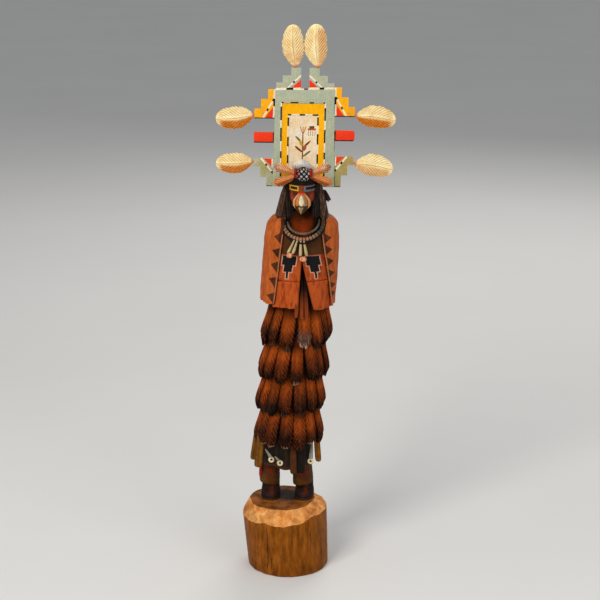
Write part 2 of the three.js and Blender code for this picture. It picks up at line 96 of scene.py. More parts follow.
class Paint(Enum):
    """The doll's paints and stains, as sRGB from 0 to 255."""

    SAGE = (165, 175, 150)
    PALE_SAGE = (178, 178, 150)
    OLIVE_SAGE = (168, 160, 108)
    OLIVE = (172, 148, 84)
    WING = (240, 160, 24)
    YELLOW = (252, 178, 6)
    CREAM = (240, 206, 158)
    SCARLET = (236, 58, 26)
    BLACK = (24, 18, 15)
    WHITE = (240, 226, 200)
    MANTLE = (184, 88, 32)
    MANTLE_DARK = (146, 66, 22)
    MANTLE_LIGHT = (206, 116, 58)
    PANEL = (184, 80, 26)
    PANEL_DARK = (112, 34, 14)
    RIDGE = (198, 122, 84)
    TRIANGLE = (44, 26, 15)
    MOTIF = (22, 20, 20)
    OUTLINE = (204, 152, 128)
    YOKE = (78, 44, 16)
    FEATHER_ROOT = (170, 76, 20)
    FEATHER_RUST = (118, 50, 14)
    FEATHER_UMBER = (68, 32, 14)
    FEATHER_TIP = (32, 18, 12)
    FEATHER_PALE = (196, 152, 122)
    FEATHER_FADED = (150, 112, 96)
    # near black: for dark parts, and as painted shade in gaps, checks, slits and under things
    CORE = (26, 12, 6)
    HAIR_BLACK = (22, 15, 11)
    HAIR_BROWN = (72, 50, 38)
    HAIR_GREY = (120, 96, 76)
    FACE = (74, 40, 20)
    NOSE = (128, 62, 34)
    CHEEK = (160, 58, 44)
    OCHRE = (206, 150, 34)
    SLATE = (104, 100, 104)
    ORANGE = (208, 122, 56)
    MUZZLE_CREAM = (232, 176, 112)
    MUZZLE_WHITE = (222, 210, 176)
    MUZZLE_GREEN = (134, 132, 100)
    MUZZLE_RED = (142, 48, 22)
    BEARD = (60, 44, 26)
    TAN = (176, 138, 92)
    THROAT = (100, 38, 6)
    STONE_GREEN = (72, 68, 54)
    STONE_GREY = (104, 94, 78)
    STONE_TAN = (160, 118, 90)
    STRIP = (172, 154, 110)
    SHELL = (226, 158, 116)
    PLUME = (240, 206, 140)
    PLUME_PALE = (252, 232, 176)
    PLUME_STAIN = (214, 116, 6)
    PLUME_DARK = (132, 70, 18)
    QUILL = (196, 104, 62)
    BROW_FEATHER = (224, 142, 84)
    BROW_PALE = (240, 190, 146)
    BROW_STAIN = (166, 74, 26)
    SPOT = (136, 112, 118)
    DOWN = (190, 186, 180)
    WRAP = (168, 40, 40)
    LEATHER = (124, 78, 20)
    LEATHER_DARK = (70, 40, 10)
    LEGGING = (88, 56, 16)
    LEGGING_RED = (104, 32, 12)
    SHOE = (36, 20, 16)
    SHOE_SOLE = (60, 38, 28)
    KILT = (26, 20, 14)
    KILT_BROWN = (74, 40, 18)
    SASH = (78, 40, 14)
    CORD = (150, 146, 132)
    RING = (226, 206, 164)
    BARK_DARK = (72, 36, 5)
    BARK = (122, 66, 10)
    BARK_LIGHT = (164, 94, 26)
    CUT = (214, 136, 66)
    CUT_PALE = (236, 176, 106)
    CUT_DARK = (168, 96, 42)
    CUT_RIDGE_HIGHLIGHT = (246, 206, 140)
    TOP = (138, 78, 26)
    TOP_DARK = (84, 44, 14)
    PLANT = (112, 66, 30)
    PLANT_RED = (176, 82, 46)
    PLANT_GREEN = (120, 112, 62)

    @property
    def linear(self) -> Colour:
        """The paint as scene-linear red, green and blue."""
        shares = (channel / 255 for channel in self.value)
        return tuple(c / 12.92 if c <= 0.04045 else ((c + 0.055) / 1.055) ** 2.4 for c in shares)

    @property
    def opaque(self) -> tuple[float, float, float, float]:
        """The paint as a colour with full alpha."""
        return (*self.linear, 1.0)


class Slot(Enum):
    """The record's material slots."""

    LOG = "log"
    FIGURE = "figure"
    BOARD = "board"
    PLUME = "plume"
    BROW = "brow"


class Side(Enum):
    """The viewer's left or right of the figure, as the sign of x."""

    LEFT = -1
    RIGHT = 1


# ---------------------------------------------------------------- rules for shapes


def rise(value: Array | float, low: float, high: float) -> Array:
    """A smooth rise from 0 at low to 1 at high, which may be the smaller of the two."""
    share = np.clip((value - low) / (high - low), 0.0, 1.0)
    return share * share * (3.0 - 2.0 * share)


def between(start: Array | float, end: Array | float, share: Array | float) -> Array:
    """The value at a share of the way from start to end."""
    return start + (end - start) * share


def bell(value: Array, centre: Array | float, reach: float) -> Array:
    """A bell of height 1 at centre, falling off within reach."""
    return np.exp(-(((value - centre) / reach) ** 2))


def waver(value: Array, seed: float) -> Array:
    """A hand-made unevenness between about -1 and 1, with a period of about 6."""
    return (
        (np.sin(value + seed) + 0.6 * np.sin(2.3 * value + 1.7 * seed) + 0.4 * np.sin(5.1 * value + seed))
        / 2.0
    )


def dome(value: Array, power: float = 2) -> Array:
    """A dome of height 1 at 0 that falls to 0 at 1, the more squarely the higher the power."""
    return np.sqrt(np.clip(1 - value**power, 0, 1))


def furrows(phase: Array, sharpness: float = 3.0) -> Array:
    """Narrow grooves, one for each unit of phase, from 0 between them to 1 at their bottom."""
    return (0.5 + 0.5 * np.cos(2 * np.pi * phase)) ** sharpness


def slow_ends(share: Array, amount: float = 0.09) -> Array:
    """The share with more of a form's rings gathered at its two ends."""
    return share - amount * np.sin(2 * np.pi * share)


@dataclass(frozen=True)
class Profile:
    """An outline of (half-width, height) pairs, followed by the share of its length."""

    points: tuple[tuple[float, float], ...]
    softness: float = 0.02

    def follow(self, share: Array) -> tuple[Array, Array]:
        """Widths and heights along the outline, with its corners eased.

        Args:
            share: 0 at the first point to 1 at the last.

        Returns:
            The half-widths and the heights.
        """
        corners = np.array(self.points)
        lengths = np.r_[0.0, np.cumsum(np.hypot(*np.diff(corners, axis=0).T))]
        lengths /= lengths[-1]
        steps = np.linspace(-1.0, 1.0, 5) * self.softness
        samples = [np.clip(share + step, 0.0, 1.0) for step in steps]
        return tuple(
            np.mean([np.interp(s, lengths, corners[:, k]) for s in samples], axis=0) for k in (0, 1)
        )

    def width_at(self, height: Array) -> Array:
        """The half-width at a height, for an outline that only rises."""
        widths, heights = zip(*self.points)
        return np.mean(
            [np.interp(height + step, heights, widths) for step in (-3, -1.5, 0, 1.5, 3)], axis=0
        )


@dataclass
class Surface:
    """Where the vertices of a blank go, and what they carry for their finish.

    Attributes:
        points: x, y and z of each vertex in millimetres.
        traits: named numbers (n) or colours (n, 3), one for each vertex.
    """

    points: Array
    traits: dict[str, Array] = field(default_factory=dict)


def stack(x: Array, y: Array, z: Array) -> Array:
    """Three coordinates as rows of points."""
    return np.stack(np.broadcast_arrays(x, y, z), axis=-1).astype(float)


class Canvas:
    """Colours laid over one another on the vertices of one piece."""

    def __init__(self, count: int, ground: Paint) -> None:
        """Covers every vertex with the ground colour."""
        self.colours = np.tile(np.array(ground.linear), (count, 1))

    def lay(self, paint: Paint, mask: Array) -> None:
        """Lays a paint over what is there, as strongly as the mask says."""
        share = np.clip(mask, 0.0, 1.0)[:, None]
        self.colours = self.colours * (1 - share) + np.array(paint.linear) * share

    def on(self, points: Array) -> Surface:
        """A surface that carries the colours."""
        return Surface(points, {"paint": self.colours})


def inside(value: Array, low: Array | float, high: Array | float, soft: float = 0.15) -> Array:
    """1 between low and high, falling to 0 over a soft edge."""
    return np.clip((value - low) / soft + 0.5, 0, 1) * np.clip((high - value) / soft + 0.5, 0, 1)


# ---------------------------------------------------------------- Blender's tools


def make_active(obj: Object) -> None:
    """Selects one object alone and makes it the active one."""
    bpy.ops.object.select_all(action="DESELECT")
    obj.select_set(True)
    bpy.context.view_layer.objects.active = obj


@contextmanager
def editing(obj: Object) -> Iterator[bmesh.types.BMesh]:
    """Edit mode on one object, with nothing selected at the start.

    Args:
        obj: the object to edit.

    Yields:
        Its edit mesh.
    """
    make_active(obj)
    bpy.ops.object.mode_set(mode="EDIT")
    bpy.ops.mesh.select_all(action="DESELECT")
    yield bmesh.from_edit_mesh(obj.data)
    bpy.ops.object.mode_set(mode="OBJECT")


def select(obj: Object, kind: str, test: Callable[[bmesh.types.BMFace | bmesh.types.BMEdge], bool]) -> None:
    """Selects what passes the test on the object in edit mode, and nothing else.

    Args:
        obj: the object.
        kind: FACE or EDGE.
        test: says whether a face or edge is selected.
    """
    mesh = bmesh.from_edit_mesh(obj.data)
    bpy.ops.mesh.select_mode(type=kind)
    bpy.ops.mesh.select_all(action="DESELECT")
    for element in mesh.faces if kind == "FACE" else mesh.edges:
        element.select_set(test(element))
    bmesh.update_edit_mesh(obj.data)


def named(name: str) -> Object:
    """The object that an operator has just added, under its own name."""
    obj = bpy.context.object
    obj.name = name
    obj.data.name = name
    return obj


def added(name: str, add: Callable[..., set[str]], **settings: object) -> Object:
    """A new primitive under its own name, made by an operator with nothing else selected."""
    bpy.ops.object.select_all(action="DESELECT")
    add(**settings)
    return named(name)


def new_ball(name: str, around: int, along: int) -> Object:
    """A ball blank whose poles lie on the Z axis."""
    return added(name, bpy.ops.mesh.primitive_uv_sphere_add, segments=around, ring_count=along, radius=1.0)


def new_grid(name: str, across: int, along: int) -> Object:
    """A flat sheet blank from -1 to 1."""
    return added(
        name, bpy.ops.mesh.primitive_grid_add, x_subdivisions=across, y_subdivisions=along, size=2.0
    )


def copy_of(blank: Object, name: str) -> Object:
    """A copy of a blank with a mesh of its own."""
    made = blank.copy()
    made.data = blank.data.copy()
    made.name = name
    bpy.context.scene.collection.objects.link(made)
    return made


def discard(obj: Object) -> None:
    """Removes a blank that has served."""
    bpy.data.objects.remove(obj, do_unlink=True)


def corners_of(obj: Object) -> Array:
    """The vertices of a mesh as rows of x, y, z."""
    flat = np.empty(len(obj.data.vertices) * 3)
    obj.data.vertices.foreach_get("co", flat)
    return flat.reshape(-1, 3)


def give_form(obj: Object, surface: Surface) -> Object:
    """Moves a blank's vertices into place and stores what they carry.

    Args:
        obj: the blank.
        surface: points in millimetres, and traits.

    Returns:
        The same object.
    """
    obj.data.vertices.foreach_set("co", (surface.points * MM).ravel())
    for name, values in surface.traits.items():
        if values.ndim == 2:
            layer = obj.data.attributes.new(name, "FLOAT_COLOR", "POINT")
            layer.data.foreach_set("color", np.c_[values, np.ones(len(values))].astype(np.float32).ravel())
        else:
            layer = obj.data.attributes.new(name, "FLOAT", "POINT")
            layer.data.foreach_set("value", values.astype(np.float32))
    obj.data.update()
    return obj


def form_ball(obj: Object, form: Callable[[Array, Array], Surface]) -> Object:
    """Gives a ball blank its form.

    Args:
        obj: the ball.
        form: a rule from the angle round the Z axis (0 at the front, positive to +X) and the height
            share (0 at the lower pole to 1 at the upper) to a surface.

    Returns:
        The same object.
    """
    corners = corners_of(obj)
    turn = np.arctan2(corners[:, 0], -corners[:, 1])
    share = 1.0 - np.arccos(np.clip(corners[:, 2], -1.0, 1.0)) / np.pi
    return give_form(obj, form(turn, share))


def form_grid(obj: Object, form: Callable[[Array, Array], Surface]) -> Object:
    """Gives a sheet blank its form, from shares 0 to 1 across and along."""
    corners = corners_of(obj)
    return give_form(obj, form((corners[:, 0] + 1) / 2, (corners[:, 1] + 1) / 2))


def apply_modifier(obj: Object, kind: str, **settings: object) -> None:
    """Adds a modifier with its settings and applies it."""
    make_active(obj)
    modifier = obj.modifiers.new(kind.title(), kind)
    for key, value in settings.items():
        setattr(modifier, key, value)
    bpy.ops.object.modifier_apply(modifier=modifier.name)


def join(name: str, parts: Sequence[Object]) -> Object:
    """Joins meshes into one object."""
    make_active(parts[0])
    for part in parts:
        part.select_set(True)
    bpy.ops.object.join()
    return named(name)


def face_out(obj: Object) -> None:
    """Points the faces of closed forms outwards."""
    with editing(obj):
        bpy.ops.mesh.select_all(action="SELECT")
        bpy.ops.mesh.normals_make_consistent(inside=False)


def finish(
    obj: Object, finishes: Sequence[Finish], slot: Slot, *nodes: str, crease: float = 40.0
) -> Object:
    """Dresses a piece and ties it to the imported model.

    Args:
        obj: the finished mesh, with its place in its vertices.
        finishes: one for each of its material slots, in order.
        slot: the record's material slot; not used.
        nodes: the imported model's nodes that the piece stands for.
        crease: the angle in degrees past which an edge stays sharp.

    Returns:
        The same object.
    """
    make_active(obj)
    bpy.ops.object.shade_smooth_by_angle(angle=math.radians(crease))
    while len(obj.data.materials) < len(finishes):
        obj.data.materials.append(None)
    for number, chosen in enumerate(finishes):
        obj.data.materials[number] = chosen.material()
    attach(obj, "root")
    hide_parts(*nodes)
    return obj


def dress(obj: Object, chosen: Finish, crease: float = 40.0) -> Object:
    """Dresses a piece of the carved figure in one finish."""
    return finish(obj, (chosen,), Slot.FIGURE, "figure", crease=crease)


# ---------------------------------------------------------------- materials


class Graph:
    """The node graph of one material, built by small named steps."""

    MIX_SHARE, MIX_A, MIX_B, MIX_RESULT = 0, 6, 7, 2

    def __init__(self, name: str, roughness: float, specular: float = 0.1) -> None:
        """Starts a material with its plain values set on the shader."""
        self.material = bpy.data.materials.new(name)
        self.material.use_nodes = True
        self.tree = self.material.node_tree
        self.shader = self.tree.nodes["Principled BSDF"]
        self.shader.inputs["Roughness"].default_value = roughness
        self.shader.inputs["Specular IOR Level"].default_value = specular

    def feed(self, socket: Socket, value: Value) -> None:
        """Links a socket to another, or sets it to a plain value."""
        if isinstance(value, Socket):
            self.tree.links.new(value, socket)
        elif isinstance(value, tuple) and len(value) == 3 and socket.type == "RGBA":
            socket.default_value = (*value, 1.0)
        else:
            socket.default_value = value

    def node(self, kind: str, inputs: dict[int | str, Value], **settings: object) -> bpy.types.Node:
        """Adds a node.

        Args:
            kind: the node's type, without its ShaderNode prefix.
            inputs: values or links by socket.
            settings: the node's own properties.

        Returns:
            The node.
        """
        made = self.tree.nodes.new("ShaderNode" + kind)
        for key, value in settings.items():
            setattr(made, key, value)
        for key, value in inputs.items():
            self.feed(made.inputs[key], value)
        return made

    def math(self, operation: str, a: Value, b: Value = 0.0) -> Socket:
        """One arithmetic step."""
        return self.node("Math", {0: a, 1: b}, operation=operation).outputs[0]

    def times(self, first: Value, *others: Value) -> Socket:
        """The product of two or more values."""
        for other in others:
            first = self.math("MULTIPLY", first, other)
        return first

    def plus(self, a: Value, b: Value) -> Socket:
        """The sum of two values."""
        return self.math("ADD", a, b)

    def less(self, a: Value, b: Value) -> Socket:
        """The first value less the second."""
        return self.math("SUBTRACT", a, b)

    def vector(self, operation: str, a: Value, b: Value, output: int | str = 0) -> Socket:
        """One step of vector arithmetic."""
        return self.node("VectorMath", {0: a, 1: b}, operation=operation).outputs[output]

    def within(self, value: Value, centre: float, reach: float) -> Socket:
        """1 where a value is no further than a reach from the centre, 0 elsewhere."""
        return self.node("Math", {0: value, 1: centre, 2: reach}, operation="COMPARE").outputs[0]

    def trait(self, name: str) -> Socket:
        """A number that the vertices carry."""
        return self.node("Attribute", {}, attribute_name=name).outputs["Fac"]

    def trait_colour(self, name: str) -> Socket:
        """A colour that the vertices carry."""
        return self.node("Attribute", {}, attribute_name=name).outputs["Color"]

    def place(self, stretch: tuple[float, float, float] = (1.0, 1.0, 1.0)) -> Socket:
        """The place on the piece in millimetres, times a stretch along each axis."""
        coordinates = self.node("TexCoord", {}).outputs["Object"]
        scale = tuple(1000.0 * s for s in stretch)
        return self.node("Mapping", {"Vector": coordinates, "Scale": scale}).outputs[0]

    def noise(self, vector: Value, scale: float, detail: float = 4.0, roughness: float = 0.55) -> Socket:
        """Cloudy noise around 0.5, whose features are about 1 / scale apart."""
        inputs = {"Vector": vector, "Scale": scale, "Detail": detail, "Roughness": roughness}
        return self.node("TexNoise", inputs).outputs[0]

    def rise(self, value: Value, low: float, high: float, bottom: float = 0.0, top: float = 1.0) -> Socket:
        """A smooth rise from bottom at low to top at high."""
        inputs = {0: value, 1: low, 2: high, 3: bottom, 4: top}
        return self.node("MapRange", inputs, interpolation_type="SMOOTHSTEP").outputs[0]

    def ramp(self, value: Value, stops: Sequence[tuple[float, Paint]], stepped: bool = False) -> Socket:
        """Paints by value.

        Args:
            value: from 0 to 1.
            stops: each paint and where it starts.
            stepped: whether the paints meet at hard edges.

        Returns:
            The colour.
        """
        made = self.node("ValToRGB", {0: value})
        elements = made.color_ramp.elements
        made.color_ramp.interpolation = "CONSTANT" if stepped else "LINEAR"
        while len(elements) < len(stops):
            elements.new(0.5)
        for element, (position, paint) in zip(elements, stops):
            element.position = position
            element.color = paint.opaque
        return made.outputs[0]

    def mix(self, share: Value, a: Value, b: Value, mode: str = "MIX") -> Socket:
        """A mix of two colours."""
        inputs = {self.MIX_SHARE: share, self.MIX_A: a, self.MIX_B: b}
        made = self.node("Mix", inputs, data_type="RGBA", blend_type=mode)
        return made.outputs[self.MIX_RESULT]

    def over(self, colour: Value, paint: Paint, share: Value) -> Socket:
        """A paint laid over a colour, as strongly as the share says."""
        return self.mix(share, colour, paint.linear)

    def scaled(self, colour: Value, factor: Value) -> Socket:
        """A colour made lighter or darker by a factor."""
        made = self.node("VectorMath", {0: colour}, operation="SCALE")
        self.feed(made.inputs["Scale"], factor)
        return made.outputs[0]

    def mottled(self, colour: Value, amount: float, scale: float) -> Socket:
        """A colour that wanders lighter and darker by an amount, in patches of about 1 / scale."""
        patches = self.noise(self.place(), scale, detail=6.0)
        return self.scaled(colour, self.rise(patches, 0.25, 0.75, 1.0 - amount, 1.0 + amount * 0.7))

    def grained(self, colour: Value, amount: float, stretch: tuple[float, float, float]) -> Socket:
        """A colour crossed by fine lines of wood grain."""
        lines = self.noise(self.place(stretch), 1.0, detail=5.0, roughness=0.65)
        return self.scaled(colour, self.rise(lines, 0.3, 0.7, 1.0 - amount, 1.0 + amount * 0.5))

    def bump(self, height: Value, depth: float, below: Value | None = None) -> Socket:
        """A bumped normal.

        Args:
            height: the pattern, from 0 to 1.
            depth: its depth in millimetres.
            below: a bumped normal to build on.

        Returns:
            The normal.
        """
        inputs = {"Height": height, "Distance": depth * MM, "Strength": 1.0}
        if below is not None:
            inputs["Normal"] = below
        return self.node("Bump", inputs).outputs[0]

    def wear(self, depth: float = 0.12) -> Socket:
        """The fine unevenness of knife-cut, painted wood, as a normal."""
        fine = self.noise(self.place((2.2, 2.2, 0.7)), 1.0, detail=6.0)
        broad = self.noise(self.place(), 0.22, detail=2.0)
        return self.bump(fine, depth, self.bump(broad, depth * 3.0))

    def close(self, colour: Value, normal: Value, sheen: tuple[float, float]) -> bpy.types.Material:
        """Feeds the shader and hands over the material.

        Args:
            colour: the base colour.
            normal: the bumped normal.
            sheen: the lowest and highest roughness, between which it wanders.

        Returns:
            The material.
        """
        self.feed(self.shader.inputs["Base Color"], colour)
        self.feed(self.shader.inputs["Normal"], normal)
        patches = self.noise(self.place(), 0.4, detail=5.0)
        self.feed(self.shader.inputs["Roughness"], self.rise(patches, 0.3, 0.7, *sheen))
        return self.material


@dataclass(frozen=True)
class Finish:
    """A finish that is built once, however many pieces wear it."""

    name: str

    def material(self) -> bpy.types.Material:
        """The finish's material, built on first use."""
        return bpy.data.materials.get(self.name) or self.build()

    def build(self) -> bpy.types.Material:
        """Builds the material."""
        raise NotImplementedError


@dataclass(frozen=True)
class PaintedWood(Finish):
    """Thin paint over carved wood, in one paint or in the colours that the vertices carry."""

    paint: Paint | None = None
    mottle: float = 0.22
    grain: float = 0.12
    sheen: tuple[float, float] = (0.42, 0.62)
    relief: float = 0.1
    gloss: float = 0.1

    def build(self) -> bpy.types.Material:
        """Builds the material."""
        graph = Graph(self.name, self.sheen[1], self.gloss)
        ground = graph.trait_colour("paint") if self.paint is None else self.paint.linear
        colour = graph.mottled(ground, self.mottle, 0.3)
        colour = graph.grained(colour, self.grain, (1.4, 1.4, 0.12))
        return graph.close(colour, graph.wear(self.relief), self.sheen)


@dataclass(frozen=True)
class StreakedWood(Finish):
    """Streaks along the carved strands or grain, between a dark and a light paint."""

    dark: Paint = Paint.HAIR_BLACK
    middle: Paint = Paint.HAIR_BROWN
    light: Paint = Paint.HAIR_GREY
    stretch: tuple[float, float, float] = (1.2, 1.2, 0.05)
    levels: tuple[float, float, float] = (0.34, 0.52, 0.68)
    sheen: tuple[float, float] = (0.4, 0.6)
    relief: float = 0.25

    def build(self) -> bpy.types.Material:
        """Builds the material."""
        graph = Graph(self.name, self.sheen[1])
        streaks = graph.noise(graph.place(self.stretch), 1.0, detail=6.0, roughness=0.6)
        paints = zip(self.levels, (self.dark, self.middle, self.light))
        colour = graph.mottled(graph.ramp(streaks, tuple(paints)), 0.2, 0.12)
        return graph.close(colour, graph.bump(streaks, self.relief, graph.wear(0.06)), self.sheen)


@dataclass(frozen=True)
class BarkedSide(Finish):
    """The log's peeled side: oiled, with dark grain streaks, fine checks and a darker foot.

    Attributes:
        checks: the angle, foot and head of each long check, painted dark as the shade inside it.
    """

    checks: tuple[tuple[float, float, float], ...] = (
        (-0.43, 4.0, 46.0),
        (-0.32, 2.0, 22.0),
        (0.66, 26.0, 48.0),
        (1.2, 6.0, 34.0),
        (2.4, 8.0, 48.0),
        (-1.9, 4.0, 36.0),
    )

    def build(self) -> bpy.types.Material:
        """Builds the material."""
        graph = Graph(self.name, 0.5, specular=0.05)
        streaks = graph.noise(graph.place((0.26, 0.26, 0.07)), 1.0, detail=8.0, roughness=0.6)
        fine = graph.noise(graph.place((1.2, 1.2, 0.06)), 1.0, detail=6.0, roughness=0.7)
        checks, wander = graph.noise(graph.place((0.2, 0.2, 0.09)), 1.0, detail=3.0), 0.14
        stops = ((0.24, Paint.BARK_DARK), (0.44, Paint.BARK), (0.74, Paint.BARK_LIGHT))
        colour = graph.ramp(streaks, stops)
        colour = graph.scaled(colour, graph.rise(fine, 0.32, 0.6, 0.86, 1.14))
        x, y, height = graph.node("SeparateXYZ", {0: graph.place()}).outputs
        angle = graph.math("ARCTAN2", x, graph.times(y, -1.0))
        angle = graph.plus(angle, graph.times(checks, wander))
        crack: Value = 0.0
        for course, low, high in self.checks:
            near = graph.rise(graph.math("ABSOLUTE", graph.less(angle, course + wander / 2)), 0.018, 0.004)
            ends = graph.times(graph.rise(height, low, low + 6.0), graph.rise(height, high, high - 8.0))
            crack = graph.math("MAXIMUM", crack, graph.times(near, ends))
        # The checks are painted dark as the shade inside them.
        colour = graph.over(colour, Paint.CORE, graph.times(crack, 0.7))
        colour = graph.scaled(colour, graph.rise(height, -2.0, 14.0, 0.84, 1.0))
        normal = graph.bump(streaks, 0.9, graph.bump(fine, 0.25, graph.bump(crack, -0.4)))
        return graph.close(colour, normal, (0.34, 0.55))


@dataclass(frozen=True)
class CutWood(Finish):
    """Freshly knife-cut wood, oiled: pale, with end grain and the ripple of the blade.

    Attributes:
        facets: how strongly the knife's facets show, with a painted highlight on the ridges between them.
        shadow_and_stain_centre: where the dark patch round the feet lies, part painted shadow and part
            stain, as x and y; None for none.
    """

    dark: Paint = Paint.CUT_DARK
    middle: Paint = Paint.CUT
    pale: Paint = Paint.CUT_PALE
    facets: float = 0.3
    shadow_and_stain_centre: tuple[float, float] | None = None
    shadow_and_stain_reach: tuple[float, float] = (21.0, 15.0)

    def build(self) -> bpy.types.Material:
        """Builds the material."""
        graph = Graph(self.name, 0.5)
        patches = graph.noise(graph.place(), 0.11, detail=4.0)
        specks = graph.noise(graph.place(), 0.9, detail=5.0)
        colour = graph.ramp(patches, ((0.33, self.dark), (0.5, self.middle), (0.66, self.pale)))
        colour = graph.scaled(colour, graph.rise(specks, 0.3, 0.7, 0.9, 1.07))
        bent = graph.vector("ADD", graph.place((0.12, 0.12, 0.07)), graph.scaled(patches, 0.9))
        scoops = graph.node("TexVoronoi", {"Vector": bent, "Scale": 1.0})
        edges = graph.node("TexVoronoi", {"Vector": bent, "Scale": 1.0}, feature="DISTANCE_TO_EDGE")
        tint = graph.node("SeparateColor", {0: scoops.outputs["Color"]}).outputs[0]
        colour = graph.scaled(colour, graph.rise(tint, 0.0, 1.0, 0.84, 1.12))
        # Painted highlight on the ridges between the knife's scoops.
        ridge = graph.times(graph.rise(edges.outputs["Distance"], 0.12, 0.0), graph.rise(specks, 0.4, 0.6))
        colour = graph.over(colour, Paint.CUT_RIDGE_HIGHLIGHT, graph.times(ridge, self.facets * 0.8))
        # The dark patch round the feet: painted shadow of the figure, partly dark stain.
        if self.shadow_and_stain_centre is not None:
            x, y, _ = graph.node("SeparateXYZ", {0: graph.place()}).outputs
            across = graph.math("DIVIDE", graph.less(x, self.shadow_and_stain_centre[0]), self.shadow_and_stain_reach[0])
            deep = graph.math("DIVIDE", graph.less(y, self.shadow_and_stain_centre[1]), self.shadow_and_stain_reach[1])
            far = graph.math(
                "SQRT", graph.plus(graph.math("POWER", across, 2.0), graph.math("POWER", deep, 2.0))
            )
            frayed = graph.plus(far, graph.times(patches, 0.5))
            colour = graph.scaled(colour, graph.rise(frayed, 0.75, 1.3, 0.07, 1.0))
        normal = graph.bump(
            patches,
            0.5,
            graph.bump(specks, 0.08, graph.bump(scoops.outputs["Distance"], 3.0 * self.facets)),
        )
        return graph.close(colour, normal, (0.55, 0.75))


@dataclass(frozen=True)
class FeatherStainAndShade(Finish):
    """Feathers from rust at the root to nearly black at the tip, scored with barbs; painted shade darkens
    their sides, roots and furrows.
    """

    def build(self) -> bpy.types.Material:
        """Builds the material."""
        graph = Graph(self.name, 0.5, specular=0.05)
        along, across = graph.trait("along"), graph.trait("across")
        tone, pale = graph.trait("tone"), graph.trait("pale")
        cloud = graph.noise(graph.place((0.5, 0.5, 0.16)), 1.0, detail=6.0)
        depth = graph.plus(along, graph.times(graph.less(cloud, 0.5), 0.5))
        depth = graph.plus(depth, graph.times(tone, 0.13))
        stops = (
            (0.4, Paint.FEATHER_ROOT),
            (0.58, Paint.FEATHER_RUST),
            (0.74, Paint.FEATHER_UMBER),
            (0.9, Paint.FEATHER_TIP),
        )
        colour = graph.ramp(depth, stops)
        side = graph.math("ABSOLUTE", across)
        wave = graph.math("SINE", graph.times(graph.trait("barbs"), 2 * math.pi))
        strength = graph.rise(graph.noise(graph.place(), 0.09, detail=2.0), 0.35, 0.6)
        scored = graph.times(graph.rise(wave, -0.1, 0.8), graph.times(strength, 0.66))
        colour = graph.scaled(colour, graph.less(1.2, scored))
        crest = graph.times(graph.rise(wave, -0.4, -0.95), graph.rise(along, 0.4, 0.7, 0.15, 0.6))
        colour = graph.over(colour, Paint.FEATHER_ROOT, graph.times(crest, strength))
        # Painted shade in the furrows between clumps of barbs.
        colour = graph.scaled(colour, graph.rise(graph.trait("clumps"), 0.1, 0.9, 1.0, 0.5))
        # Painted shade on the feather's sides, in the gaps between feathers.
        colour = graph.scaled(colour, graph.rise(side, 0.72, 1.0, 1.0, 0.14))
        # Painted shadow on the root, which lies under the tier above or under the cape's hem.
        colour = graph.scaled(colour, graph.rise(along, 0.2, 0.5, 0.16, 1.0))
        ends = graph.noise(graph.place((0.9, 0.9, 0.12)), 1.0, detail=3.0)
        frayed = graph.rise(ends, 0.42, 0.58, 0.35, 1.15)
        colour = graph.mix(graph.rise(along, 0.62, 0.82), colour, graph.scaled(colour, frayed))
        tip = graph.rise(along, 0.6, 0.84)
        faded = graph.times(graph.rise(pale, 1.2, 2.0), tip, graph.rise(ends, 0.4, 0.6, 0.25, 0.6))
        colour = graph.over(colour, Paint.FEATHER_FADED, faded)
        worn = graph.noise(graph.place((1.0, 1.0, 0.3)), 1.0, detail=5.0)
        colour = graph.over(colour, Paint.FEATHER_PALE, graph.rise(worn, 0.66, 0.84, 0.0, 0.25))
        bare = graph.rise(graph.plus(along, graph.times(worn, 0.05)), 0.985, 1.01)
        colour = graph.over(colour, Paint.FEATHER_PALE, graph.times(pale, 0.8, bare))
        normal = graph.bump(graph.rise(wave, -1.0, 1.0, 1.0, 0.0), 0.4, graph.bump(cloud, 0.5))
        return graph.close(colour, normal, (0.42, 0.62))


@dataclass(frozen=True)
class MantlePaint(Finish):
    """The mantle's orange stain, a row of dark triangles down each front edge and a painted highlight along
    each edge.

    Attributes:
        ridge: width of the raised ridge along the edge, which the triangles leave free.
    """

    ridge: float = 0.9

    def build(self) -> bpy.types.Material:
        """Builds the material."""
        graph = Graph(self.name, 0.5)
        edge, tooth = graph.trait("edge"), graph.trait("tooth")
        cloud = graph.noise(graph.place((0.35, 0.35, 0.1)), 1.0, detail=7.0, roughness=0.6)
        colour = graph.ramp(
            cloud, ((0.28, Paint.MANTLE_DARK), (0.5, Paint.MANTLE), (0.8, Paint.MANTLE_LIGHT))
        )
        frayed = graph.times(graph.less(graph.noise(graph.place(), 0.8), 0.5), 0.9)
        inner = graph.plus(graph.less(edge, self.ridge), frayed)
        dark = graph.rise(graph.less(tooth, inner), 0.0, 0.4)
        dark = graph.times(dark, graph.rise(cloud, 0.3, 0.7, 1.0, 0.8))
        colour = graph.over(colour, Paint.TRIANGLE, dark)
        # Painted highlight along the raised front edge.
        colour = graph.over(colour, Paint.RIDGE, graph.rise(edge, 1.2, 0.2, 0.0, 0.75))
        colour = graph.grained(colour, 0.2, (1.6, 1.6, 0.1))
        return graph.close(colour, graph.bump(cloud, 0.5, graph.wear(0.1)), (0.42, 0.62))


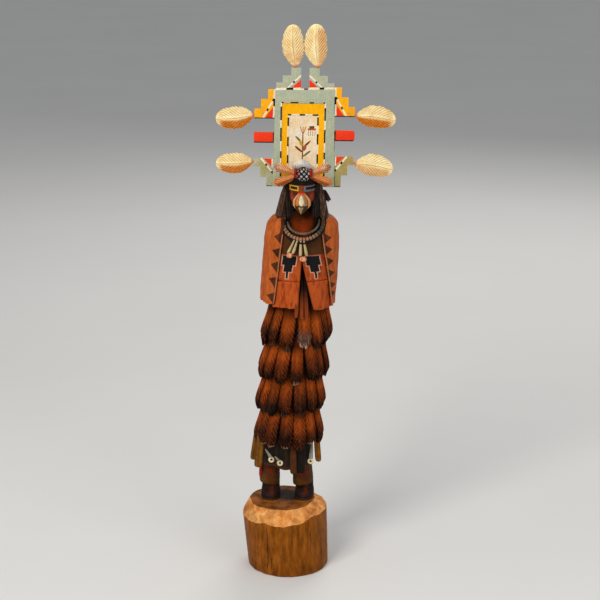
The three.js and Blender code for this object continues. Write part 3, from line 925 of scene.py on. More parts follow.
@dataclass(frozen=True)
class PanelPaint(Finish):
    """The front panels: a stepped black motif with a pale outline, a dark line and a brown yoke.

    Attributes:
        steps: half-width, foot and head of each block of the motif.
        outline: width of the pale outline.
        line: height of the dark line below the motif.
        yoke: height at which the yoke starts.
    """

    steps: tuple[tuple[float, float, float], ...] = (
        (5.4, 203.6, 211.0), (3.3, 198.2, 204.0), (0.8, 192.8, 198.6)
    )
    outline: float = 0.75
    line: float = 190.4
    yoke: float = 211.6

    def blocks(self, graph: Graph, across: Value, height: Value, grow: float) -> Socket:
        """A mask of the motif's blocks, grown by a margin."""
        mask: Value = 0.0
        for half, foot, head in self.steps:
            middle, reach = (foot + head) / 2, (head - foot) / 2 + grow
            beside = graph.within(across, 0.0, half + grow)
            level = graph.within(height, middle, reach)
            mask = graph.math("MAXIMUM", mask, graph.times(beside, level))
        return mask

    def build(self) -> bpy.types.Material:
        """Builds the material."""
        graph = Graph(self.name, 0.5)
        across, height, edge = graph.trait("across"), graph.trait("height"), graph.trait("edge")
        cloud = graph.noise(graph.place((0.4, 0.4, 0.09)), 1.0, detail=7.0, roughness=0.62)
        colour = graph.ramp(cloud, ((0.3, Paint.PANEL_DARK), (0.5, Paint.PANEL), (0.72, Paint.MANTLE)))
        frayed = graph.less(graph.noise(graph.place(), 0.7), 0.5)
        across = graph.plus(across, graph.times(frayed, 0.7))
        height = graph.plus(height, graph.times(frayed, 0.7))
        colour = graph.over(colour, Paint.PANEL_DARK, graph.rise(height, 192.0, 214.0, 0.0, 0.55))
        colour = graph.over(colour, Paint.YOKE, graph.rise(height, self.yoke, self.yoke + 0.8))
        rim = graph.times(
            self.blocks(graph, across, height, self.outline),
            graph.rise(height, self.yoke - 0.4, self.yoke - 1.0, 0.25, 0.9),
        )
        colour = graph.over(colour, Paint.OUTLINE, rim)
        colour = graph.over(colour, Paint.MOTIF, self.blocks(graph, across, height, 0.0))
        line = graph.within(height, self.line, 0.4)
        colour = graph.over(colour, Paint.PANEL_DARK, graph.times(line, 0.8))
        # Painted shade along the slit.
        colour = graph.scaled(colour, graph.rise(edge, 0.0, 1.6, 0.55, 1.0))
        colour = graph.grained(colour, 0.16, (1.6, 1.6, 0.1))
        return graph.close(colour, graph.bump(cloud, 0.4, graph.wear(0.1)), (0.4, 0.6))


@dataclass(frozen=True)
class PlumeStainAndShade(Finish):
    """Pale carved plumes: one half stained, partly as painted shade, with scored barbs, a shaft line and a
    red quill.

    Attributes:
        stain_and_shade_side: -1 or 1 for the half that is stained and painted as in shade, 0 for the root
            alone.
        strength: of the stain and painted shade, from 0 to 1.
            ground, pale, stain: the paints; the stain is partly painted shade.
        spot: a smudge near the tip, or None.
    """

    stain_and_shade_side: int = -1
    strength: float = 1.0
    ground: Paint = Paint.PLUME
    pale: Paint = Paint.PLUME_PALE
    stain: Paint = Paint.PLUME_STAIN
    spot: Paint | None = None

    def build(self) -> bpy.types.Material:
        """Builds the material."""
        graph = Graph(self.name, 0.5)
        along, across, barbs = graph.trait("along"), graph.trait("across"), graph.trait("barbs")
        cloud = graph.noise(graph.place(), 0.12, detail=5.0)
        fine = graph.noise(graph.place(), 0.7, detail=5.0)
        colour = graph.ramp(cloud, ((0.35, self.ground), (0.62, self.pale)))
        # The stained half is partly painted shade, on the half that slopes away from the light.
        if self.stain_and_shade_side:
            lower = graph.times(across, float(self.stain_and_shade_side))
            ends = graph.rise(along, 0.99, 0.8)
            shade = graph.times(graph.rise(lower, 0.0, 0.35), ends, graph.rise(lower, 1.0, 0.85, 0.6, 1.0))
        else:
            shade = graph.times(graph.rise(along, 0.62, 0.16, 0.0, 1.0), graph.rise(cloud, 0.4, 0.6))
        shade = graph.times(shade, graph.rise(fine, 0.3, 0.6, 0.85 * self.strength, self.strength))
        colour = graph.over(colour, self.stain, shade)
        side = graph.math("ABSOLUTE", across)
        uneven = graph.rise(fine, 0.25, 0.55, 0.6, 1.0)
        score = graph.times(barbs, graph.plus(graph.times(shade, 0.4), 0.6), uneven)
        colour = graph.over(colour, Paint.PLUME_DARK, score)
        colour = graph.over(colour, Paint.PLUME_DARK, graph.rise(side, 0.07, 0.015, 0.0, 0.5))
        colour = graph.over(colour, Paint.QUILL, graph.rise(along, 0.12, 0.03))
        if self.spot is not None:
            tip, middle = graph.rise(along, 0.66, 0.82), graph.rise(side, 0.75, 0.35)
            colour = graph.over(colour, self.spot, graph.times(tip, middle, graph.rise(fine, 0.35, 0.55)))
        colour = graph.mottled(colour, 0.1, 0.5)
        return graph.close(colour, graph.bump(fine, 0.12), (0.38, 0.55))


# ---------------------------------------------------------------- marks on the board


def on_board(u: float, w: float) -> Vector:
    """A place in the board's own plane."""
    return Vector((u, 0.0, w))


def square_to(run: Vector) -> Vector:
    """The direction square to a run, in the board's own plane."""
    return run.cross(Vector((0.0, 1.0, 0.0))).normalized()


@dataclass(frozen=True)
class Dashes:
    """A straight run of two alternating paints in the board's own (u, w).

    Attributes:
        start, end: the ends of the run.
        cuts: shares of the run where the paint changes.
        width: of the run.
        paints: the paint of the first stretch and the other one.
    """

    start: tuple[float, float]
    end: tuple[float, float]
    cuts: tuple[float, ...] = ()
    width: float = 1.1
    paints: tuple[Paint, Paint] = (Paint.BLACK, Paint.WHITE)

    def lay(self, graph: Graph, place: Socket, colour: Value) -> Socket:
        """Lays the run over a colour."""
        start, end = on_board(*self.start), on_board(*self.end)
        run = end - start
        axes = run / run.length_squared, square_to(run)
        offset = graph.vector("SUBTRACT", place, tuple(start))
        share, far = (graph.vector("DOT_PRODUCT", offset, tuple(axis), "Value") for axis in axes)
        in_width = graph.within(far, 0.0, self.width / 2)
        in_run = graph.within(share, 0.5, 0.5)
        stops = tuple((cut, self.paints[number % 2]) for number, cut in enumerate((0.0, *self.cuts)))
        paint = graph.ramp(share, stops, stepped=True)
        return graph.mix(graph.times(in_width, in_run), colour, paint)


@dataclass(frozen=True)
class Patch:
    """A flat patch of paint with straight sides, given by its corners clockwise in (u, w)."""

    corners: tuple[tuple[float, float], ...]
    paint: Paint = Paint.SCARLET
    soft: float = 0.12

    def lay(self, graph: Graph, place: Socket, colour: Value) -> Socket:
        """Lays the patch over a colour."""
        centre = sum((on_board(*corner) for corner in self.corners), Vector()) / len(self.corners)
        mask: Value = 1.0
        for (u, w), (next_u, next_w) in zip(self.corners, (*self.corners[1:], self.corners[0])):
            start, inward = on_board(u, w), square_to(on_board(next_u - u, next_w - w))
            inward *= math.copysign(1.0, inward.dot(centre - start))
            reach = graph.vector("DOT_PRODUCT", place, tuple(inward), "Value")
            mask = graph.times(mask, graph.rise(reach, start.dot(inward), start.dot(inward) + self.soft))
        return graph.over(colour, self.paint, mask)


@dataclass(frozen=True)
class Oval:
    """A painted oval in the board's own (u, w), turned by an angle in degrees."""

    centre: tuple[float, float]
    radii: tuple[float, float]
    turn: float = 0.0
    paint: Paint = Paint.PLANT

    def lay(self, graph: Graph, place: Socket, colour: Value) -> Socket:
        """Lays the oval over a colour."""
        angle = math.radians(self.turn)
        axes = on_board(math.cos(angle), math.sin(angle)), on_board(-math.sin(angle), math.cos(angle))
        offset = graph.vector("SUBTRACT", place, tuple(on_board(*self.centre)))
        squares = []
        for axis, radius in zip(axes, self.radii):
            reach = graph.vector("DOT_PRODUCT", offset, tuple(axis / radius), "Value")
            squares.append(graph.math("POWER", graph.math("ABSOLUTE", reach), 2.0))
        mask = graph.rise(graph.plus(*squares), 1.12, 0.92)
        return graph.over(colour, self.paint, mask)


Mark = Dashes | Patch | Oval
PALE_FIRST = (Paint.WHITE, Paint.BLACK)


@dataclass(frozen=True)
class BoardPaint(Finish):
    """Matt paint on the board, with marks laid over it.

    Attributes:
        ground: the paint below the marks.
        other: what the ground wanders towards.
        marks: dashes, patches and ovals, laid in order.
        origin, turn, roll: where the board's own frame stands.
        back: how deep the marks go, behind the middle of the board.
    """

    ground: Paint = Paint.SAGE
    other: Paint = Paint.PALE_SAGE
    marks: tuple[Mark, ...] = ()
    origin: tuple[float, float, float] = (0.0, 0.0, 0.0)
    turn: float = 0.0
    roll: float = 0.0
    back: float = 1.5

    def build(self) -> bpy.types.Material:
        """Builds the material."""
        graph = Graph(self.name, 0.6)
        coordinates = graph.node("TexCoord", {}).outputs["Object"]
        inputs = {
            "Vector": coordinates,
            "Location": tuple(c * MM for c in self.origin),
            "Rotation": (0.0, self.roll, self.turn),
            "Scale": (MM, MM, MM),
        }
        place = graph.node("Mapping", inputs, vector_type="TEXTURE").outputs[0]
        cloud = graph.noise(graph.place(), 0.14, detail=6.0)
        colour = graph.ramp(cloud, ((0.38, self.ground), (0.62, self.other)))
        unsteady = (
            graph.node("TexNoise", {"Vector": graph.place(), "Scale": 0.5, "Detail": 2.0}).outputs["Color"]
        )
        shift = graph.vector("SUBTRACT", unsteady, (0.5, 0.5, 0.5))
        drawn = graph.vector("ADD", place, graph.scaled(shift, 0.5))
        plain, deep = colour, graph.node("SeparateXYZ", {0: place}).outputs[1]
        for mark in self.marks:
            colour = mark.lay(graph, drawn, colour)
        colour = graph.mix(graph.rise(deep, self.back - 0.15, self.back - 0.1), colour, plain)
        colour = graph.mottled(colour, 0.1, 0.6)
        colour = graph.grained(colour, 0.07, (1.3, 1.3, 0.1))
        return graph.close(colour, graph.wear(0.07), (0.5, 0.68))


# ---------------------------------------------------------------- where things stand


class Site:
    """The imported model's boxes, in millimetres."""

    def low(self, node: str) -> Vector:
        """The lowest corner of a node."""
        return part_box(node)[0] / MM

    def high(self, node: str) -> Vector:
        """The highest corner of a node."""
        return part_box(node)[1] / MM

    def centre(self, node: str) -> Vector:
        """The middle of a node's box."""
        return (self.low(node) + self.high(node)) / 2


@dataclass(frozen=True)
class Stance:
    """How the carved column stands: its foot on the log, leaning to one side as it rises.

    Attributes:
        foot: height of the log's top.
        head_x: sideways place of the head.
        lean_from, lean_to: heights above the foot between which the column leans.
        depth_ratio: front-to-back size over side-to-side size.
        centre_y: front-to-back place of the column.
    """

    foot: float
    head_x: float
    lean_from: float = 14.0
    lean_to: float = 274.0
    depth_ratio: float = 0.8
    centre_y: float = 2.0

    def axis_x(self, height: Array | float) -> Array:
        """The sideways place of the column's centre at a height."""
        return (self.head_x + 0.6) * rise(height, self.lean_from, self.lean_to)

    def place(self, x: Array, y: Array, height: Array) -> Array:
        """Points at heights above the foot."""
        return stack(x, y, self.foot + height)

    def oval(
        self, angle: Array, height: Array, half_width: Array | float, lift: Array | float = 0.0
    ) -> Array:
        """Points on the column's oval.

        Args:
            angle: from the front, positive to the right.
            height: above the foot.
            half_width: of the oval.
            lift: how far the points stand off it.

        Returns:
            The points.
        """
        x = self.axis_x(height) + (half_width + lift) * np.sin(angle)
        y = self.centre_y - (half_width * self.depth_ratio + lift) * np.cos(angle)
        return self.place(x, y, height)


def side_angle(offset: Array, limit: float = 0.985) -> Array:
    """The angle on an oval at a share of its half-width, which stays short of the oval's side."""
    return np.arcsin(np.clip(offset, -limit, limit))


def leaf_width(share: Array, root: float, widen: float, tip_power: float) -> Array:
    """A leaf's half-width at a share of its length, closed at both ends.

    Args:
        share: 0 at the root to 1 at the tip.
        root: its width near the root, as a share of the widest.
        widen: where it reaches its full width.
        tip_power: how squarely the tip is rounded off.

    Returns:
        The half-width as a share of the widest.
    """
    closed = dome(1 - share, 24)
    rounded = dome(share, tip_power)
    return between(root, 1.0, rise(share, 0.0, widen)) * closed * rounded


# ---------------------------------------------------------------- the log


@dataclass
class Log:
    """The section of log, with a chamfer cut by knife round its top.

    Attributes:
        top_shift: sideways place of the flat top, from the middle of the leaning log.
        lean: how far the log leans to one side over its height.
        rim_height, rim_rise: height of the chamfer's foot, and how much it climbs to one side.
        sides, rings: how finely the drum is divided.
        cuts: how many strokes of the knife the chamfer took.
    """

    site: Site
    node: str = "plinth_log"
    foot_radius: float = 33.4
    rim_radius: float = 35.0
    top_radius: float = 26.8
    top_shift: float = -1.4
    lean: float = -3.5
    rim_height: float = 47.2
    rim_rise: float = 0.14
    sides: int = 180
    rings: int = 46
    cuts: int = 21

    @property
    def height(self) -> float:
        """The height of the flat top."""
        return self.site.high(self.node).z

    def side(self) -> Object:
        """The peeled side: a drum with shallow furrows and a few checks down it."""
        drum_sizes = {"vertices": self.sides, "radius": 1.0, "depth": 1.0, "location": (0, 0, 0.5)}
        drum = added("log", bpy.ops.mesh.primitive_cylinder_add, **drum_sizes)
        bpy.ops.object.transform_apply(location=True)
        with editing(drum):
            select(drum, "EDGE", lambda edge: abs(edge.verts[0].co.z - edge.verts[1].co.z) > 0.5)
            bpy.ops.mesh.subdivide(number_cuts=self.rings)
        corners = corners_of(drum)
        angle, share = np.arctan2(corners[:, 0], -corners[:, 1]), corners[:, 2]
        height = share * self.height
        bulge = np.interp(height, (0.0, 26.0, self.rim_height, self.height), (0.0, 0.6, 1.0, 1.04))
        radius = between(self.foot_radius, self.rim_radius, bulge) * (1 + 0.012 * np.sin(2 * angle + 1))
        radius += (
            0.34 * waver(7 * angle + 0.02 * height, 2.0) + 0.2 * waver(19 * angle + 0.03 * height, 5.0)
        )
        draw = random.Random(11)
        for _ in range(16):
            course, low, reach = draw.uniform(-math.pi, math.pi), draw.uniform(0, 30), draw.uniform(12, 30)
            check = bell(np.sin(angle - course - 0.002 * height), 0.0, 0.014) * (np.cos(angle - course) > 0)
            radius -= 0.6 * check * inside(height, low, low + reach, 6.0)
        radius -= 0.9 * rise(height, 1.2, 0.0)
        x = radius * np.sin(angle) + self.lean * share
        return give_form(drum, Surface(stack(x, -radius * np.cos(angle), height)))

    def knife_planes(self) -> Iterator[tuple[Vector, Vector]]:
        """The planes of the knife's cuts, each as a point and an outward normal, in metres."""
        draw = random.Random(4)
        centre = Vector((self.lean + self.top_shift, 0.0, self.height))
        for number in range(self.cuts):
            angle = 2 * math.pi * (number + draw.uniform(-0.28, 0.28)) / self.cuts
            out = Vector((math.sin(angle), -math.cos(angle), 0.0))
            rim = self.rim_height + self.rim_rise * self.rim_radius * out.x + draw.uniform(-2.1, 1.9)
            drop, across = self.height - rim, self.rim_radius - self.top_radius - out.x * self.top_shift
            normal = (out * drop + UP * across).normalized()
            yield (centre + out * (self.top_radius + draw.uniform(-0.5, 0.7))) * MM, normal
        for _ in range(self.cuts):
            angle = draw.uniform(-math.pi, math.pi)
            out = Vector((math.sin(angle), -math.cos(angle), 0.0))
            normal = (out * draw.uniform(0.35, 0.6) + UP).normalized()
            yield (centre + out * (self.top_radius - draw.uniform(0.0, 1.0)) - UP * 0.1) * MM, normal

    def build(self) -> list[Object]:
        """Cuts the chamfer and dresses side, chamfer and top."""
        drum = self.side()
        with editing(drum):
            for point, normal in self.knife_planes():
                bpy.ops.mesh.select_all(action="SELECT")
                bpy.ops.mesh.bisect(plane_co=point, plane_no=normal, use_fill=True, clear_outer=True)
        for face in drum.data.polygons:
            level = face.normal.z
            face.material_index = 2 if level > 0.99 else 1 if level > 0.25 else 0
        finishes = (
            BarkedSide("log_side"),
            CutWood("log_chamfer"),
            CutWood(
                "log_top", Paint.TOP_DARK, Paint.TOP, Paint.CUT_DARK, facets=0.0, shadow_and_stain_centre=(-1.5, 5.0)
            ),
        )
        return [finish(drum, finishes, Slot.LOG, self.node, crease=18.0)]


# ---------------------------------------------------------------- the skirt


@dataclass
class Skirt:
    """Four tiers of carved feathers round the body, and the body behind them.

    The values of a tier are listed from the lowest tier up.

    Attributes:
        first_angles: where the first feather of each tier stands, in degrees from the front.
        fans: how far the feathers of each tier swing outwards between front and side, in degrees.
        belly_lift, root_lift: how far a feather's end and its root stand off the body.
        back_depth: how far a feather reaches behind its own middle.
        pale_tips: for each tier, how pale the tips may be; one is drawn for each feather.
        bleached: the feathers by tier and number whose ends have faded, with how much.
        slant: how steeply the barbs fall away from the shaft.
        barb_gap, clump_gap: along the feather, from one barb or clump of barbs to the next.
        ragged: how uneven the tips of each tier are.
    """

    stance: Stance
    half_width: float = 24.4
    tip_heights: tuple[float, ...] = (52.6, 80.0, 108.5, 137.0)
    first_angles: tuple[float, ...] = (-3.0, -6.5, 9.0, 15.0)
    fans: tuple[float, ...] = (0.0, 2.0, 5.0, 8.0)
    tier_names: tuple[str, ...] = ("lowest", "lower", "upper", "top")
    per_tier: int = 14
    length: float = 38.0
    thickness: float = 2.7
    belly_lift: float = 1.5
    root_lift: float = -3.4
    back_depth: float = 2.0
    pale_tips: tuple[tuple[float, ...], ...] = (
        (0.0, 1.0, 0.9), (0.0, 0.0, 0.2), (0.0, 0.0, 0.4), (0.0, 0.0, 0.2)
    )
    bleached: dict[tuple[int, int], float] = field(default_factory=lambda: {(3, 0): 2.0, (2, 0): 1.0})
    slant: float = 1.7
    barb_gap: float = 1.9
    clump_gap: float = 3.8
    ragged: tuple[float, ...] = (1.0, 2.4, 2.6, 4.2)

    def feather(self, blank: Object, tier: int, number: int, draw: random.Random) -> Object:
        """One feather, wrapped on the body's oval.

        Args:
            blank: the ball that every feather starts from.
            tier: 0 for the lowest.
            number: its place in the ring.
            draw: the source of its small differences.

        Returns:
            The feather.
        """
        pitch = 2 * math.pi / self.per_tier
        centre = math.radians(self.first_angles[tier] + draw.uniform(-1.0, 1.0)) + number * pitch
        tip = self.tip_heights[tier] + draw.uniform(-1.6, 1.8)
        tilt, seed = draw.uniform(-0.7, 0.7), draw.uniform(0.0, 6.0)
        swing = math.radians(self.fans[tier]) * math.sin(2 * centre) + math.radians(draw.uniform(-1.8, 1.8))
        breadth, layer = draw.uniform(1.02, 1.14), draw.uniform(-0.25, 0.25) + 1.1 * (number % 2) - 0.5
        tone, pale = draw.uniform(-1.0, 1.0), draw.choice(self.pale_tips[tier])
        pale = self.bleached.get((tier, number), pale)
        half_pitch = self.half_width * pitch / 2

        def form(turn: Array, share: Array) -> Surface:
            """The feather's surface."""
            turn, along = turn - 0.5 * np.sin(turn), 1.0 - slow_ends(share)
            side, front = np.sin(turn), np.cos(turn)
            ramp = along * self.length - self.slant * np.abs(side) * half_pitch
            phase = (
                ramp / self.clump_gap + seed + 0.35 * np.sign(side) + 0.12 * waver(9 * along + seed, seed)
            )
            clumps = furrows(phase, 2.0) * rise(np.abs(side), 0.08, 0.4) * rise(along, 0.15, 0.35)
            width = (
                leaf_width(along, 0.86, 0.3, 16.0) * (1 - 0.22 * clumps * side**4 * rise(along, 0.4, 0.75))
            )
            angle = centre + swing * along + side * width * breadth * pitch / 2
            belly = between(self.root_lift, self.belly_lift, rise(along, 0.2, 0.86)) + layer
            tuck = 1.2 * rise(along, 0.8, 1.0)
            lobe = (
                (0.55 * (1 - np.abs(side) ** 6) + 0.45 * (1 - np.abs(side))) * self.thickness
                * between(0.45, 1.0, width)
            )
            shaft = 0.35 * bell(side, 0.0, 0.08) * rise(along, 0.1, 0.3) * rise(along, 1.0, 0.9)
            relief = np.where(front > 0, lobe + shaft - 0.6 * clumps, -self.back_depth * np.abs(front))
            split = furrows(side * 1.9 + seed, 2.0) + 0.5 * waver(9.0 * side + seed, seed)
            ragged = self.ragged[tier] * split * rise(along, 0.8, 0.97)
            height = (
                tip + self.length * (1 - along) - 2.4 * math.cos(centre) ** 2 * along + ragged
                - 1.0 * rise(along, 0.8, 1.0)
            )
            points = self.stance.oval(angle, height, self.half_width, belly - tuck + tilt * side + relief)
            barbs = ramp / self.barb_gap + seed + 0.25 * waver(5 * along + 3 * side + seed, seed)
            worn = {"tone": np.full(len(turn), tone), "pale": np.full(len(turn), pale)}
            return Surface(
                points, {"along": along, "across": side, "barbs": barbs, "clumps": clumps, **worn}
            )

        return form_ball(copy_of(blank, f"feather_{tier}_{number}"), form)

    def tier(self, number: int) -> Object:
        """One ring of feathers."""
        draw = random.Random(20 + number)
        blank = new_ball("feather_blank", 48, 60)
        feathers = [self.feather(blank, number, k, draw) for k in range(self.per_tier)]
        discard(blank)
        ring = join(f"skirt_{self.tier_names[number]}_tier", feathers)
        face_out(ring)
        return dress(ring, FeatherStainAndShade("feather_stain_and_shade"), crease=75.0)

    def core(self) -> Object:
        """The body behind the feathers, painted near black as the shade in the gaps between them."""

        def form(turn: Array, share: Array) -> Surface:
            """The core's surface."""
            height = between(44.0, 236.0, share)
            width = (self.half_width - 4.0) * dome(2 * share - 1, 16)
            return Surface(self.stance.oval(turn, height, width))

        body = form_ball(new_ball("skirt_body", 48, 60), form)
        return dress(body, PaintedWood("body_painted_shade", Paint.CORE))

    def build(self) -> list[Object]:
        """The core and its four tiers."""
        return [self.core(), *(self.tier(number) for number in range(len(self.tip_heights)))]


# ---------------------------------------------------------------- the cape


@dataclass
class Cape:
    """The mantle round the shoulders, its two painted front panels and the ribbons in the slit.

    Attributes:
        sway: how far the centre stands off the column's, low and high.
        edge_heights, edge_x: where the mantle's front edges run, from their foot to their head.
        slit_heights, slit_x, slit_top_x: the slit between the panels, which closes upwards.
        neck_x, neckline: middle of the neckline, and its height, drop and half-width.
        neck_reach: the height at which the panels' width under the neckline is taken.
        hems: height of each panel's hem.
        motif_heights, motif_x: the line that each panel's motif is centred on.
        teeth: foot, point and head of each dark triangle, from the lowest up.
        lap: how far the panels lie under the mantle.
    """

    stance: Stance
    outline: Profile = Profile(
        (
            (29.8, 170.0),
            (29.9, 178.0),
            (30.3, 190.0),
            (30.4, 204.0),
            (29.8, 221.0),
            (28.0, 233.0),
            (24.5, 238.0),
            (18.0, 241.0),
            (9.0, 242.4),
        )
    )
    sway: tuple[float, float] = (-0.7, -0.3)
    edge_heights: tuple[float, float] = (164.0, 234.0)
    edge_x: dict[Side, tuple[float, float]] = field(
        default_factory=lambda: {Side.LEFT: (-10.2, -0.8), Side.RIGHT: (37.0, 27.4)}
    )
    slit_heights: tuple[float, float] = (162.0, 208.0)
    slit_x: dict[Side, float] = field(default_factory=lambda: {Side.LEFT: 9.2, Side.RIGHT: 22.6})
    slit_top_x: float = 12.8
    neck_x: float = 13.6
    neckline: tuple[float, float, float] = (237.0, 12.0, 15.4)
    neck_reach: float = 228.0
    hems: dict[Side, float] = field(default_factory=lambda: {Side.LEFT: 168.6, Side.RIGHT: 166.4})
    motif_heights: tuple[float, float] = (195.0, 209.0)
    motif_x: dict[Side, tuple[float, float]] = field(
        default_factory=lambda: {Side.LEFT: (0.9, 3.3), Side.RIGHT: (24.0, 20.9)}
    )
    teeth: dict[Side, tuple[tuple[float, float, float], ...]] = field(
        default_factory=lambda: {
            Side.LEFT: (
                (171.2, 177.6, 180.8),
                (184.0, 191.2, 193.6),
                (196.2, 203.0, 206.4),
                (208.0, 214.4, 217.2),
                (219.8, 225.4, 229.6),
            ),
            Side.RIGHT: (
                (175.3, 178.0, 181.2),
                (182.2, 185.5, 188.7),
                (191.8, 195.6, 199.4),
                (201.9, 205.2, 210.0),
                (210.9, 214.8, 219.7),
                (220.1, 224.4, 229.2),
            ),
        }
    )
    tooth_reach: dict[Side, float] = field(default_factory=lambda: {Side.LEFT: 8.7, Side.RIGHT: 9.4})
    thickness: float = 2.0
    lap: float = 1.9

    def axis_x(self, height: Array) -> Array:
        """The sideways place of the cape's centre at a height."""
        return self.stance.axis_x(height) + between(*self.sway, rise(height, 170.0, 230.0))

    def edge_angle(self, height: Array, side: Side) -> Array:
        """The angle of the mantle's front edge at a height."""
        x = np.interp(height, self.edge_heights, self.edge_x[side])
        return side_angle((x - self.axis_x(height)) / self.outline.width_at(height))

    def hung(self, angle: Array, height: Array, half_width: Array, lift: Array) -> Array:
        """Points on the stance's oval, moved over to the cape's centre."""
        points = self.stance.oval(angle, height, half_width, lift)
        points[:, 0] += self.axis_x(height) - self.stance.axis_x(height)
        return points

    def tooth(self, height: Array, side: Side) -> Array:
        """How far a triangle reaches from the front edge at a height: 0 between triangles."""
        heights = [level for row in self.teeth[side] for level in row]
        return self.tooth_reach[side] * np.interp(height, heights, (0.0, 1.0, 0.0) * len(self.teeth[side]))

    def mantle(self) -> Object:
        """The mantle, from its left front edge round the back to the right one."""

        def form(across: Array, along: Array) -> Surface:
            """The mantle's outer surface."""
            eased = between(across, (1 - np.cos(np.pi * across)) / 2, 0.6)
            width, height = self.outline.follow(along)
            left, right = (self.edge_angle(height, side) for side in (Side.LEFT, Side.RIGHT))
            sweep = 2 * np.pi - (right - left)
            angle = left - eased * sweep
            near_left, near_right = eased * sweep * width, (1 - eased) * sweep * width
            edge = np.minimum(near_left, near_right)
            hem = rise(along, 0.2, 0.0)
            droop = (
                1.9 * np.exp(-near_left / 2.0) - 3.6 * np.exp(-near_right / 16.0)
                + 0.7 * waver(5 * angle, 1.0)
            )
            height = height + hem * droop
            folds = furrows(angle * 1.9 + 0.2, 8.0) * rise(along, 0.75, 0.3)
            lift = (
                0.9 * bell(edge, 0.9, 1.0) + 0.3 * waver(8 * angle + height / 30, 3.0)
                - 0.8 * folds * rise(edge, 4, 12)
            )
            lift += 0.35 * waver(height / 9 + 2 * angle, 4.0) + 0.5 * hem * waver(7 * angle, 2.0)
            teeth = np.where(
                near_left < near_right, self.tooth(height, Side.LEFT), self.tooth(height, Side.RIGHT)
            )
            neck = rise(height, 227.5, 230.0)
            traits = {"edge": edge + 2.0 * neck, "tooth": teeth + 5.0 * neck}
            return Surface(self.hung(angle, height, width, lift), traits)

        cloth = form_grid(new_grid("cape_mantle", 260, 120), form)
        apply_modifier(cloth, "SOLIDIFY", thickness=self.thickness * MM, offset=1.0)
        return cloth

    def panel(self, side: Side) -> Object:
        """One front panel, from under the mantle's edge to the slit."""
        sign = side.value

        def form(across: Array, along: Array) -> Surface:
            """The panel's outer surface."""
            reach = np.interp(self.neck_reach, self.edge_heights, self.edge_x[side])
            at_top, (high, drop, half) = between(self.slit_top_x, reach, across), self.neckline
            height = between(self.hems[side], high - drop * dome((at_top - self.neck_x) / half), along)
            outer = np.interp(height, self.edge_heights, self.edge_x[side]) + sign * 1.6
            inner = np.interp(height, self.slit_heights, (self.slit_x[side], self.slit_top_x))
            x = between(inner, outer, across)
            width = self.outline.width_at(height) - self.lap
            angle = side_angle((x - self.axis_x(height)) / width)
            from_slit = np.abs(x - inner)
            hem = rise(along, 0.12, 0.0)
            lift = 0.5 * waver(from_slit / 3.2 + height / 40, 1.0 + sign) * rise(along, 0.7, 0.1)
            lift += (
                0.45 * bell(from_slit, 0.9, 1.1) + 0.25 * waver(height / 7, 2.0)
                - 0.6 * bell(height, 190.4, 0.8)
            )
            height = height + hem * (0.5 * waver(from_slit / 2.5, 3.0) + 1.2 * np.exp(-from_slit / 1.6))
            motif_x = np.interp(height, self.motif_heights, self.motif_x[side])
            traits = {"across": x - motif_x, "height": height, "edge": from_slit}
            return Surface(self.hung(angle, height, width, lift), traits)

        made = form_grid(new_grid(f"cape_{side.name.lower()}_panel", 70, 140), form)
        apply_modifier(made, "SOLIDIFY", thickness=self.thickness * MM, offset=-1.0 if sign > 0 else 1.0)
        return made

    def ribbon(self, blank: Object, number: int, foot: tuple[float, float], top_x: float) -> Object:
        """One hanging ribbon end in the slit."""

        def form(turn: Array, share: Array) -> Surface:
            """The ribbon's surface."""
            along = 1 - share
            side, front = np.sin(turn), np.cos(turn)
            width = leaf_width(along, 0.5, 0.8, 14.0)
            groove = 0.35 * bell(side, 0.0, 0.2)
            x = between(top_x, foot[0], along) + 1.8 * side * width
            y = (
                between(-15.6, -21.2, along)
                - np.where(front > 0, 1.7 * (1 - side**4) * width - groove, 0.0) + 0.8 * np.abs(front)
            )
            # Painted shade: near black at the top, inside the slit, and at the sides, between the ribbons.
            canvas = Canvas(len(turn), Paint.CORE)
            canvas.lay(Paint.FEATHER_RUST, rise(along, 0.35, 0.75))
            canvas.lay(Paint.MANTLE_DARK, rise(along, 0.7, 1.0))
            canvas.lay(Paint.RIDGE, 0.6 * rise(along, 0.95, 1.0))
            canvas.lay(Paint.CORE, 0.9 * rise(np.abs(side), 0.7, 1.0))
            return canvas.on(self.stance.place(x, y, between(199.0, foot[1], along)))

        return form_ball(copy_of(blank, f"ribbon_{number}"), form)

    def ribbons(self) -> Object:
        """The ribbon ends that hang out below the slit."""
        blank = new_ball("ribbon_blank", 28, 50)
        ends = (((8.4, 161.0), 10.4), ((12.8, 160.2), 12.8), ((16.8, 159.8), 15.0))
        parts = [self.ribbon(blank, k, foot, top) for k, (foot, top) in enumerate(ends)]
        discard(blank)
        return join("cape_ribbons", parts)

    def build(self) -> list[Object]:
        """The mantle, panels and ribbons, dressed."""
        mantle, ribbons = self.mantle(), self.ribbons()
        panels = [self.panel(side) for side in Side]
        for made in (mantle, ribbons, *panels):
            face_out(made)
        return [
            dress(mantle, MantlePaint("mantle_paint"), crease=50.0),
            *(dress(made, PanelPaint("panel_paint"), crease=50.0) for made in panels),
            dress(ribbons, PaintedWood("ribbon_paint")),
        ]


# ---------------------------------------------------------------- the head


